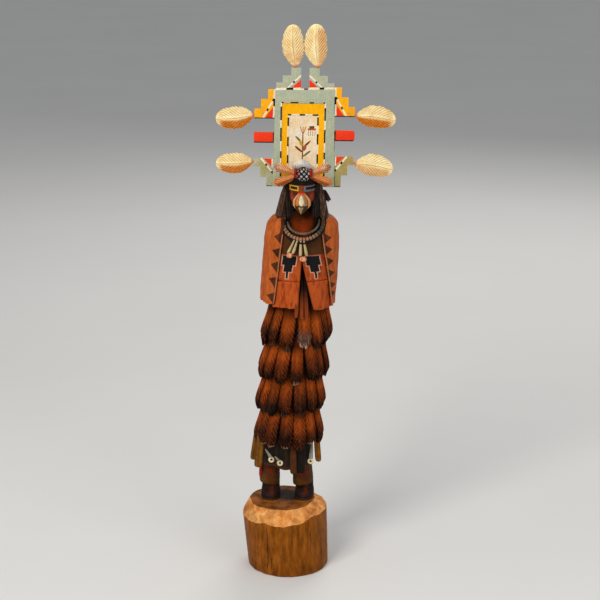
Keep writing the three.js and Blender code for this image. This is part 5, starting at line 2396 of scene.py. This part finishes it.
            with editing(board):
                for x in (left, right):
                    select(board, "FACE", at_front)
                    bpy.ops.mesh.bisect(plane_co=(x, 0, 0), plane_no=(1, 0, 0))
                for z in (low, high):
                    select(board, "FACE", at_front)
                    bpy.ops.mesh.bisect(plane_co=(0, 0, z), plane_no=(0, 0, 1))
                select(board, "FACE", in_field)
                bpy.ops.mesh.extrude_region_move(TRANSFORM_OT_translate={"value": (0, depth, 0)})
                for face in bmesh.from_edit_mesh(board.data).faces:
                    if face.select:
                        face.material_index = index
            front += depth
        return board

    def paints(self) -> dict[str, BoardPaint]:
        """The board's paints, each with the marks that lie on it."""
        shared = {"origin": tuple(self.origin), "turn": self.turn, "roll": self.roll}
        half, low, high, _ = self.yellow
        left, right = self.field_sides(half, 0.5)
        frame_marks = (
            Dashes(
                (-self.half_top, self.height - 0.4),
                (self.half_top, self.height + 0.6),
                self.top_breaks,
                1.2,
                PALE_FIRST,
            ),
            Dashes((left, low), (left - 0.2, high + 0.6), (0.12, 0.25, 0.34, 0.48, 0.66, 0.76, 0.94), 1.1),
            Dashes((right, low), (right, high + 0.6), (0.14, 0.24, 0.33, 0.46, 0.64, 0.76, 0.93), 1.1),
            Dashes(
                (left, high + 0.5),
                (right, high + 0.6),
                (0.05, 0.2, 0.38, 0.64, 0.74, 0.95),
                1.1,
                (Paint.BLACK, Paint.SAGE),
            ),
            Dashes(
                (self.half_foot, 1.0),
                (self.half_top + 0.3, 70.0),
                (0.1, 0.4, 0.62, 0.86),
                0.8,
                (Paint.BLACK, Paint.SAGE),
            ),
        )
        half, low, high, _ = self.panel
        left, right = self.field_sides(half, 0.5)
        yellow_marks = (
            Dashes((left, low), (left, high), (0.1, 0.26, 0.42, 0.6, 0.8, 0.96), 1.2, PALE_FIRST),
            Dashes((right, low), (right, high), (0.1, 0.28, 0.46, 0.66, 0.82, 0.97), 1.2, PALE_FIRST),
            Dashes(
                (left - 0.5, high + 0.5),
                (right + 0.5, high + 0.5),
                (0.12, 0.38, 0.56, 0.8),
                1.2,
                (Paint.BLACK, Paint.WHITE),
            ),
        )
        rows = (
            ("frame", "board_sage", Paint.SAGE, Paint.PALE_SAGE, frame_marks),
            ("yellow", "board_yellow", Paint.YELLOW, Paint.YELLOW, yellow_marks),
            ("panel", "board_cream", Paint.CREAM, Paint.WHITE, self.picture()),
            ("upper_left", "wing_yellow_left", Paint.WING, Paint.YELLOW, self.upper_marks(Side.LEFT)),
            ("upper_right", "wing_yellow_right", Paint.WING, Paint.YELLOW, self.upper_marks(Side.RIGHT)),
            ("bar_left", "bar_red_left", Paint.SCARLET, Paint.SCARLET, self.bar_marks(Side.LEFT)),
            ("bar_right", "bar_red_right", Paint.SCARLET, Paint.SCARLET, self.bar_marks(Side.RIGHT)),
            (
                "lower_left",
                "wing_sage_left",
                Paint.OLIVE_SAGE,
                Paint.PALE_SAGE,
                self.lower_marks(Side.LEFT),
            ),
            ("lower_right", "wing_sage_right", Paint.OLIVE_SAGE, Paint.OLIVE, self.lower_marks(Side.RIGHT)),
            ("crown_left", "crown_left", Paint.PALE_SAGE, Paint.SAGE, self.crown_marks(Side.LEFT)),
            ("crown_right", "crown_right", Paint.PALE_SAGE, Paint.SAGE, self.crown_marks(Side.RIGHT)),
        )
        return {key: BoardPaint(*row, **shared) for key, *row in rows}

    def picture(self) -> tuple[Mark, ...]:
        """A corn plant beside a small stepped cloud with rain, on the cream field."""
        stem = -1.0
        leaves = tuple(
            Oval((stem + side * 3.1, height), (3.9, 0.85), side * lift, paint)
            for side, height, lift, paint in (
                (1, 26.0, 38.0, Paint.PLANT_GREEN),
                (-1, 29.5, 40.0, Paint.PLANT),
                (1, 33.5, 44.0, Paint.PLANT),
                (-1, 37.0, 46.0, Paint.PLANT_GREEN),
            )
        )
        ears = (
            Oval((stem + 1.5, 30.4), (2.5, 1.25), 68.0, Paint.PLANT_RED),
            Oval((stem - 1.5, 34.2), (2.3, 1.15), 112.0, Paint.OCHRE),
        )
        tassels = tuple(
            Dashes((stem, 41.0), (stem + spread, 47.0), (), 0.55, (Paint.PLANT_RED, Paint.PLANT))
            for spread in (-2.2, 0.0, 2.2)
        )
        cloud = (
            Patch(((2.6, 44.4), (9.0, 44.4), (9.0, 46.0), (2.6, 46.0)), Paint.PLANT_RED),
            Patch(((3.8, 45.8), (7.8, 45.8), (7.8, 47.8), (3.8, 47.8)), Paint.PLANT),
            *(
                Dashes((u, 40.0), (u, 44.4), (), 0.4, (Paint.PLANT, Paint.PLANT))
                for u in (3.4, 5.0, 6.6, 8.2)
            ),
        )
        return (
            Dashes((stem - 0.3, 14.0), (stem, 42.0), (), 0.9, (Paint.PLANT, Paint.PLANT)),
            *leaves,
            *ears,
            *tassels,
            *cloud,
        )

    def upper_marks(self, side: Side) -> tuple[Mark, ...]:
        """Red triangle, dashed slope and edge strips of an upper wing."""
        sign, lift = side.value, self.rises[side]
        foot, edge = self.upper_steps[0][1] + lift, self.half_width(60.0)
        near, far = sign * (edge + 1.2), sign * (edge + 8.0)
        return (
            Patch(((near, foot), (near, foot + 9.4), (far, foot))),
            Dashes(
                (sign * (edge + 0.9), foot + 15.2), (sign * (edge + 9.6), foot - 0.4), (0.1, 0.48, 0.6), 1.3
            ),
            Dashes(
                (sign * (edge + 0.8), foot),
                (sign * (edge + 0.3), foot + 22.6),
                (0.42, 0.68),
                1.3,
                PALE_FIRST,
            ),
            Dashes((sign * edge, foot + 0.35), (sign * (edge + 16.0), foot + 0.35), (), 0.8),
        )

    def bar_marks(self, side: Side) -> tuple[Mark, ...]:
        """The dark lower edge and inner end of a bar."""
        sign, lift = side.value, self.rises[side]
        edge, (reach, low, high) = self.half_width(39.0), self.bar
        dark = (Paint.CORE, Paint.CORE)
        return (
            Dashes(
                (sign * edge, low + lift + 0.4), (sign * (edge + reach), low + lift + 0.4), (), 0.9, dark
            ),
            Dashes((sign * (edge + 0.3), low + lift), (sign * (edge + 0.3), high + lift), (), 1.0, dark),
        )

    def lower_marks(self, side: Side) -> tuple[Mark, ...]:
        """Red triangle, dashed slope and dark foot of a lower wing."""
        sign, lift = side.value, self.rises[side]
        top, edge = self.lower_steps[0][2] + lift, self.half_width(15.0)
        near, far = sign * (edge + 1.2), sign * (edge + 7.6)
        return (
            Patch(((near, top), (far, top), (near, top - 6.4))),
            Dashes(
                (sign * (edge + 9.4), top + 0.2),
                (sign * edge, top - 11.6),
                (0.36, 0.5, 0.86),
                1.3,
                PALE_FIRST,
            ),
            Dashes(
                (sign * (edge + 0.6), top),
                (sign * (edge + 0.6), top - 7.0),
                (),
                1.0,
                (Paint.WHITE, Paint.WHITE),
            ),
            Dashes((sign * edge, 0.3), (sign * (edge + 5.0), 0.3), (), 0.7),
        )

    def crown_marks(self, side: Side) -> tuple[Mark, ...]:
        """Red triangle and dashed slope of the crown."""
        sign, foot = side.value, self.height
        near = sign * self.crown_inner
        return (
            Patch(((near, foot), (near, foot + 7.6), (sign * 11.0, foot))),
            Dashes((sign * 3.3, foot + 10.2), (sign * 14.0, foot + 0.2), (0.44, 0.56), 1.2, PALE_FIRST),
            Dashes(
                (-self.half_top, foot - 0.2), (self.half_top, foot + 0.8), self.top_breaks, 1.4, PALE_FIRST
            ),
        )

    def build(self) -> list[Object]:
        """The frame, wings, bars and crown, bevelled, painted and set in place."""
        paints = self.paints()
        pieces = [("tableta_frame", self.frame(), ("frame", "yellow", "panel"))]
        for side in Side:
            word = side.name.lower()
            upper = self.stepped(
                f"tableta_upper_wing_{word}", side, self.raised(self.upper_steps, side), None
            )
            bar = self.stepped(f"tableta_bar_{word}", side, self.raised((self.bar,), side), None)
            if side is Side.RIGHT:
                self.round_end(bar)
            lower = self.stepped(
                f"tableta_lower_wing_{word}", side, self.raised(self.lower_steps, side, False), None
            )
            crown = self.stepped(f"tableta_crown_{word}", side, self.crown_steps, self.crown_inner)
            pieces += [
                (upper.name, upper, (f"upper_{word}",)),
                (bar.name, bar, (f"bar_{word}",)),
                (lower.name, lower, (f"lower_{word}",)),
                (crown.name, crown, (f"crown_{word}",)),
            ]
        made = []
        for name, obj, keys in pieces:
            obj.name = obj.data.name = name
            apply_modifier(
                obj, "BEVEL", width=0.35, segments=2, limit_method="ANGLE", angle_limit=math.radians(40)
            )
            obj.data.transform(Matrix.Scale(MM, 4) @ self.matrix)
            face_out(obj)
            made.append(finish(obj, [paints[key] for key in keys], Slot.BOARD, self.node, crease=30.0))
        return made


@dataclass
class Plume:
    """One big carved feather pegged to a step of the board.

    Attributes:
        name: of its node, after the plume_ that all share.
        quill: where it meets the board, in the board's (u, w).
        direction: of its tip from +u, in degrees.
        stain_and_shade_side: the half that is stained and painted as in shade: -1, 0 for neither, or 1.
        strength: of the stain and painted shade, from 0 to 1.
        droop: how far the sides of the vane fall back behind the shaft.
        slant: how steeply the barbs fall away from the shaft.
        bend: how far the feather bows sideways.
        root_shift: where the quill starts, from the edge of the board's step.
        quill_girth: the quill's thickness, as a share of the vane's.
    """

    board: Tableta
    name: str
    quill: tuple[float, float]
    direction: float
    length: float
    half_width: float
    stain_and_shade_side: int
    strength: float
    thickness: float = 2.6
    droop: float = 1.6
    barb_gap: float = 2.5
    slant: float = 1.15
    bend: float = 1.6
    root_shift: float = -0.4
    quill_girth: float = 0.45

    def outline(self, share: Array) -> Array:
        """Half-width at a share of the length: a narrow quill, then a long oval."""
        widest = 0.48
        tip = dome(np.clip(share - widest, 0, 1) / (1 - widest), 2.4)
        root = between(0.1, 1.0, np.sin(np.clip((share - 0.03) / 0.42, 0.0, 1.0) * np.pi / 2) ** 0.85)
        return np.where(share > widest, tip, root) * dome(1 - share, 60)

    def build(self) -> list[Object]:
        """The plume, scored with barbs and a shaft."""
        angle, shift = math.radians(self.direction), self.root_shift

        def form(turn: Array, share: Array) -> Surface:
            """The plume's surface in the part's frame."""
            turn, along = turn - 0.15 * np.sin(2 * turn), slow_ends(share, 0.06)
            side, front = np.sin(turn), np.cos(turn)
            outline = self.outline(along)
            phase = (along * self.length - self.slant * np.abs(side) * self.half_width) / self.barb_gap
            phase = phase + 0.12 * waver(along * 9 + np.sign(side), self.half_width)
            scored = (
                furrows(phase, 4.0) * rise(np.abs(side), 0.06, 0.3) * rise(along, 0.985, 0.85)
                * rise(along, 0.06, 0.16)
            )
            splits = (
                furrows(phase / 3.0 + 0.2 * np.sign(side), 22.0) * rise(along, 0.12, 0.25)
                * rise(along, 0.97, 0.8)
            )
            frayed = 1 - (0.03 * scored + 0.1 * splits) * np.abs(side) ** 10
            reach = shift + (self.length - shift) * along
            bent = 0.5 * self.bend * np.sin(along * np.pi) ** 2
            across = side * self.half_width * outline * frayed + bent
            u = self.quill[0] + reach * math.cos(angle) - across * math.sin(angle)
            w = self.quill[1] + reach * math.sin(angle) + across * math.cos(angle)
            slope = self.droop * ((side * outline) ** 2 - 0.4)
            groove = 0.4 * bell(side, 0.0, 0.045) * rise(along, 0.97, 0.85) - 0.4 * bell(side, 0.0, 0.11)
            quill = self.quill_girth * rise(along, 0.3, 0.1) * dome(1 - along, 60)
            depth = front * self.thickness / 2 * np.maximum(outline, quill)
            depth -= (
                np.sign(front) * (0.42 * scored + groove) * rise(np.abs(front), 0.0, 0.3)
                * rise(outline, 0.1, 0.6)
            )
            points = (
                stack(u, slope - depth, w) @ np.array(self.board.matrix.to_3x3()).T
                + np.array(self.board.origin)
            )
            return Surface(points, {"along": along, "across": side, "barbs": scored})

        made = form_ball(new_ball(f"carved_plume_{self.name}", 112, 130), form)
        face_out(made)
        stain = PlumeStainAndShade(f"plume_stain_{self.name}", stain_and_shade_side=self.stain_and_shade_side, strength=self.strength)
        return [finish(made, (stain,), Slot.PLUME, f"plume_{self.name}", crease=60.0)]


def plumes(board: Tableta) -> list[Plume]:
    """The six plumes of the board."""
    rows = (
        ("crown_left", (-7.6, 92.5), 95.0, 33.0, 8.4, 0, 0.5),
        ("crown_right", (9.4, 92.5), 93.4, 33.6, 8.9, -1, 0.45),
        ("upper_left", (-38.9, 55.6), 187.0, 30.0, 8.8, 1, 1.0),
        ("upper_right", (38.9, 56.4), -6.2, 32.0, 8.8, -1, 1.0),
        ("lower_left", (-39.1, 19.2), 184.0, 29.4, 8.2, 1, 0.95),
        ("lower_right", (39.1, 18.8), -8.0, 31.0, 8.9, -1, 0.4),
    )
    return [Plume(board, *row) for row in rows]


@dataclass
class Brow:
    """The bundle at the brow: a checkered cluster, red wraps, grey down and four small feathers.

    Attributes:
        rows, columns: of the cluster's kernels.
        root_y, tip_y: front-to-back place of a feather's ends.
        half_width, thickness: of a feather.
        winds: how often the yarn of a wrap goes round.
    """

    site: Site
    rows: int = 8
    columns: int = 16
    root_y: float = -15.6
    tip_y: float = -12.6
    half_width: float = 3.9
    thickness: float = 1.4
    winds: int = 7

    def cluster(self) -> Object:
        """The ball of kernels, dark and pale in turn."""
        centre, reach = self.site.centre("brow_cluster"), (
            self.site.high("brow_cluster") - self.site.low("brow_cluster")
        ) / 2
        reach = Vector((reach.x * 1.08, reach.y, reach.z * 0.95))

        def form(turn: Array, share: Array) -> Surface:
            """The cluster's surface."""
            rows, columns = share * self.rows, (turn / (2 * np.pi) + 0.5) * self.columns
            down, beside = rows % 1 - 0.5, columns % 1 - 0.5
            kernel = np.clip(1 - (np.abs(down) * 2) ** 2.6 - (np.abs(beside) * 2) ** 2.6, 0, 1)
            ring = np.sin(share * np.pi)
            size = 0.9 + 0.1 * np.sqrt(kernel)
            points = stack(
                centre.x + reach.x * ring * np.sin(turn) * size,
                centre.y - reach.y * ring * np.cos(turn) * size,
                centre.z - reach.z * np.cos(share * np.pi) * size,
            )
            canvas = Canvas(len(turn), Paint.BLACK)
            pale = ((np.floor(rows) + np.floor(columns)) % 2 == 0) * rise(kernel, 0.05, 0.3)
            uneven = 0.75 + 0.25 * np.sin(7.3 * np.floor(rows) + 4.1 * np.floor(columns))
            canvas.lay(Paint.DOWN, pale * uneven * rise(ring, 0.3, 0.5))
            canvas.lay(Paint.CHEEK, 0.7 * pale * rise(np.sin(turn), -0.3, -0.65))
            return canvas.on(points)

        return form_ball(new_ball("brow_kernels", 168, 126), form)

    def wrap(self, name: str, side: Side) -> Object:
        """Red yarn round the feather roots at one side."""
        centre = self.site.centre("brow_cluster")
        x = centre.x + side.value * 5.8

        def form(turn: Array, share: Array) -> Surface:
            """The wrap's surface."""
            ring = dome(2 * share - 1, 6)
            girth = ring * (1 + 0.08 * np.cos(share * self.winds * 2 * np.pi))
            canvas = Canvas(len(turn), Paint.WRAP)
            canvas.lay(Paint.CHEEK, 0.8 * rise(share, 0.45, 0.9))
            canvas.lay(Paint.CORE, 0.5 * furrows(share * self.winds + 0.5, 2.0))
            points = stack(
                x + 1.3 * girth * np.sin(turn),
                -16.4 - 3.4 * girth * np.cos(turn),
                centre.z + 0.9 + 3.9 * (share - 0.5) * 2,
            )
            return canvas.on(points)

        return form_ball(new_ball(name, 36, 48), form)

    def down(self) -> Object:
        """The tuft of grey down that stands behind the cluster."""
        centre, high = self.site.centre("brow_cluster"), self.site.high("brow_cluster")

        def form(turn: Array, share: Array) -> Surface:
            """The tuft's surface."""
            ring = np.sin(share * np.pi) ** 0.7
            strands = 1 + 0.07 * np.cos(16 * turn + 2 * np.sin(9 * share)) + 0.05 * np.cos(31 * turn)
            x = centre.x - 0.5 + 7.9 * ring * np.sin(turn) * strands
            y = -11.6 - 2.4 * ring * np.cos(turn) * strands
            fan = (1 - ((x - centre.x) / 8.6) ** 2) * share
            z = (
                high.z - 6.5 + 11.2 * share - 1.6 * (share - fan) - 0.16 * (x - centre.x) * share
                + 0.5 * waver(x * 1.9, 1.0) * rise(share, 0.5, 1.0)
            )
            canvas = Canvas(len(turn), Paint.DOWN)
            canvas.lay(Paint.WHITE, 0.85 * rise(x - centre.x, 2.0, -3.0) * rise(share, 0.45, 0.75))
            canvas.lay(Paint.SLATE, 0.45 * furrows(x * 0.55, 2.0) * rise(share, 0.9, 0.5))
            return canvas.on(stack(x, y, z))

        return form_ball(new_ball("brow_down", 128, 48), form)

    def feather(self, name: str, side: Side, upper: bool) -> Object:
        """One small feather, from the cluster outwards."""
        low, high = self.site.low(name), self.site.high(name)
        root_x, tip_x = (high.x, low.x) if side is Side.LEFT else (low.x, high.x)
        root_z, tip_z = (low.z + 0.4, high.z - 1.4) if upper else (high.z + 1.0, low.z + 1.4)
        start, run = np.array((root_x, self.root_y, root_z)), np.array(
            (tip_x - root_x, self.tip_y - self.root_y, tip_z - root_z)
        )
        across = np.array((-run[2], 0.0, run[0]))
        across /= np.linalg.norm(across)
        out = np.cross(run, across)
        out *= -math.copysign(1.0, out[1]) / np.linalg.norm(out)

        def form(turn: Array, share: Array) -> Surface:
            """The feather's surface."""
            share, side_share, front = slow_ends(share), np.sin(turn), np.cos(turn)
            ramp = share * 17 - 1.3 * np.abs(side_share) * self.half_width
            phase = ramp / 2.3 + 0.2 * np.sign(side_share)
            nicks = (
                furrows(ramp / 4.6 + 0.3 * np.sign(side_share) + 0.2 * upper, 3.0) * rise(share, 0.45, 0.75)
            )
            outline = leaf_width(share, 0.5, 0.85, 12.0) * (1 - 0.36 * nicks * side_share**4)
            scored = 0.55 * furrows(phase, 2.0) * rise(np.abs(side_share), 0.1, 0.4)
            tips = furrows(side_share * 1.4 + 0.3 * side.value, 1.5) + 0.4 * waver(8 * side_share, 2.0)
            run_share = share - 0.13 * tips * rise(share, 0.78, 0.97)
            depth = self.thickness * outline * front * (1 - 0.3 * np.abs(side_share))
            depth = depth - np.sign(front) * (scored - 0.3 * bell(side_share, 0.0, 0.16)) * outline
            wide = (side_share * outline * self.half_width)[:, None] * across
            points = start + run_share[:, None] * run + wide + depth[:, None] * out
            outer = side_share * math.copysign(1.0, across[2])
            return Surface(points, {"along": share, "across": outer, "barbs": 1.5 * furrows(phase, 2.0)})

        return form_ball(new_ball(f"carved_{name}", 64, 60), form)

    def build(self) -> list[Object]:
        """The bundle, dressed."""
        bundle = join(
            "brow_bundle",
            [self.cluster(), self.wrap("wrap_left", Side.LEFT), self.wrap("wrap_right", Side.RIGHT)],
        )
        tuft = self.down()
        made = [
            finish(
                bundle,
                (PaintedWood("brow_paint", mottle=0.15, sheen=(0.3, 0.5)),),
                Slot.BROW,
                "brow_cluster",
            ),
            finish(
                tuft, (PaintedWood("down_paint", mottle=0.15, sheen=(0.6, 0.8)),), Slot.BROW, "brow_cluster"
            ),
        ]
        for upper, side in ((True, Side.LEFT), (True, Side.RIGHT), (False, Side.LEFT), (False, Side.RIGHT)):
            row = "upper" if upper else "lower"
            name = f"brow_feather_{row}_{side.name.lower()}"
            feather = self.feather(name, side, upper)
            face_out(feather)
            stain = PlumeStainAndShade(
                f"brow_stain_{row}",
                strength=0.6 if upper else 1.0,
                ground=Paint.BROW_FEATHER,
                pale=Paint.BROW_PALE if upper else Paint.BROW_FEATHER,
                stain=Paint.BROW_STAIN,
                spot=Paint.SPOT if upper else None,
            )
            made.append(finish(feather, (stain,), Slot.BROW, name, crease=60.0))
        return made


# ---------------------------------------------------------------- the studio


@dataclass
class Studio:
    """A pale floor, soft lights and the camera.

    Attributes:
        distance, height: of the camera, from the figure's axis and above the floor.
        centre_x: sideways place of the point that the camera turns round.
        azimuth, pitch: how far the camera stands to the right, and how far it looks down.
        lens, sensor: in millimetres.
        aim_height: of the point that the lights face.
    """

    distance: float = 1.2
    height: float = 0.56
    centre_x: float = 0.010
    azimuth: float = math.radians(4.0)
    pitch: float = math.radians(15.55)
    lens: float = 93.66
    sensor: float = 36.0
    aim_height: float = 0.24

    def floor(self) -> None:
        """A wide pale floor."""
        ground = added("studio_floor", bpy.ops.mesh.primitive_plane_add, size=40.0)
        graph = Graph("floor_paint", 0.8, 0.1)
        tint = graph.noise(graph.node("TexCoord", {}).outputs["Object"], 3.0)
        colour = graph.scaled((0.78, 0.77, 0.75), graph.rise(tint, 0.2, 0.8, 0.98, 1.02))
        graph.feed(graph.shader.inputs["Base Color"], colour)
        ground.data.materials.append(graph.material)
        ground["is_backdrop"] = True

    def light(
        self, name: str, place: tuple[float, float, float], size: float, power: float, tint: Colour
    ) -> None:
        """A soft square light that faces the figure's middle."""
        data = bpy.data.lights.new(name, "AREA")
        data.size, data.energy, data.color = size, power, tint
        lamp = bpy.data.objects.new(name, data)
        bpy.context.scene.collection.objects.link(lamp)
        lamp.location = place
        aim = Vector((0.0, 0.0, self.aim_height)) - Vector(place)
        lamp.rotation_euler = aim.to_track_quat("-Z", "Y").to_euler()

    def camera(self) -> None:
        """The camera, a little to the right of the figure and looking down on it."""
        data = bpy.data.cameras.new("studio_camera")
        data.lens, data.sensor_width, data.clip_end = self.lens, self.sensor, 60.0
        camera = bpy.data.objects.new("studio_camera", data)
        bpy.context.scene.collection.objects.link(camera)
        camera.location = (
            self.centre_x + self.distance * math.sin(self.azimuth),
            -self.distance * math.cos(self.azimuth),
            self.height,
        )
        camera.rotation_euler = (math.pi / 2 - self.pitch, 0.0, self.azimuth)
        bpy.context.scene.camera = camera

    def build(self) -> None:
        """Sets the stage."""
        self.floor()
        self.light("key", (-0.55, -1.05, 1.2), 0.6, 14.5, (1.0, 0.97, 0.92))
        self.light("fill", (1.0, -0.9, 0.75), 0.9, 4.6, (0.96, 0.98, 1.0))
        self.light("back", (0.3, 1.3, 1.2), 1.0, 8.0, (1.0, 0.98, 0.95))
        world = bpy.data.worlds.new("studio_world")
        world.use_nodes = True
        background = world.node_tree.nodes["Background"]
        background.inputs["Color"].default_value = (0.9, 0.92, 0.95, 1.0)
        background.inputs["Strength"].default_value = 0.36
        bpy.context.scene.world = world
        bpy.context.scene.view_settings.view_transform = "Standard"
        self.camera()


# ---------------------------------------------------------------- the doll


def save_sizes(cad: tuple[Vector, Vector], dressed: tuple[Vector, Vector]) -> None:
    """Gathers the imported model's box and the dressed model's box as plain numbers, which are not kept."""
    boxes = {name: [list(corner) for corner in box] for name, box in (("cad", cad), ("visual", dressed))}


def main() -> None:
    """Builds every sub-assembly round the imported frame."""
    logging.basicConfig(level=logging.INFO, format="%(message)s")
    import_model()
    cad_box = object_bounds()
    site = Site()
    stance = Stance(foot=site.low("figure").z, head_x=site.centre("brow_cluster").x - 1.2)
    board = Tableta(site)
    makers = (
        Log(site),
        Skirt(stance),
        Cape(stance),
        Hair(stance),
        Mask(stance),
        Collar(stance),
        Legs(stance),
        board,
        *plumes(board),
        Brow(site),
    )
    for maker in makers:
        for piece in maker.build():
            faces = sum(len(face.vertices) - 2 for face in piece.data.polygons)
            log.info("%s: %s, %d triangles", type(maker).__name__, piece.name, faces)
    Studio().build()
    save_sizes(cad_box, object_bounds())


if __name__ == "__main__":
    main()
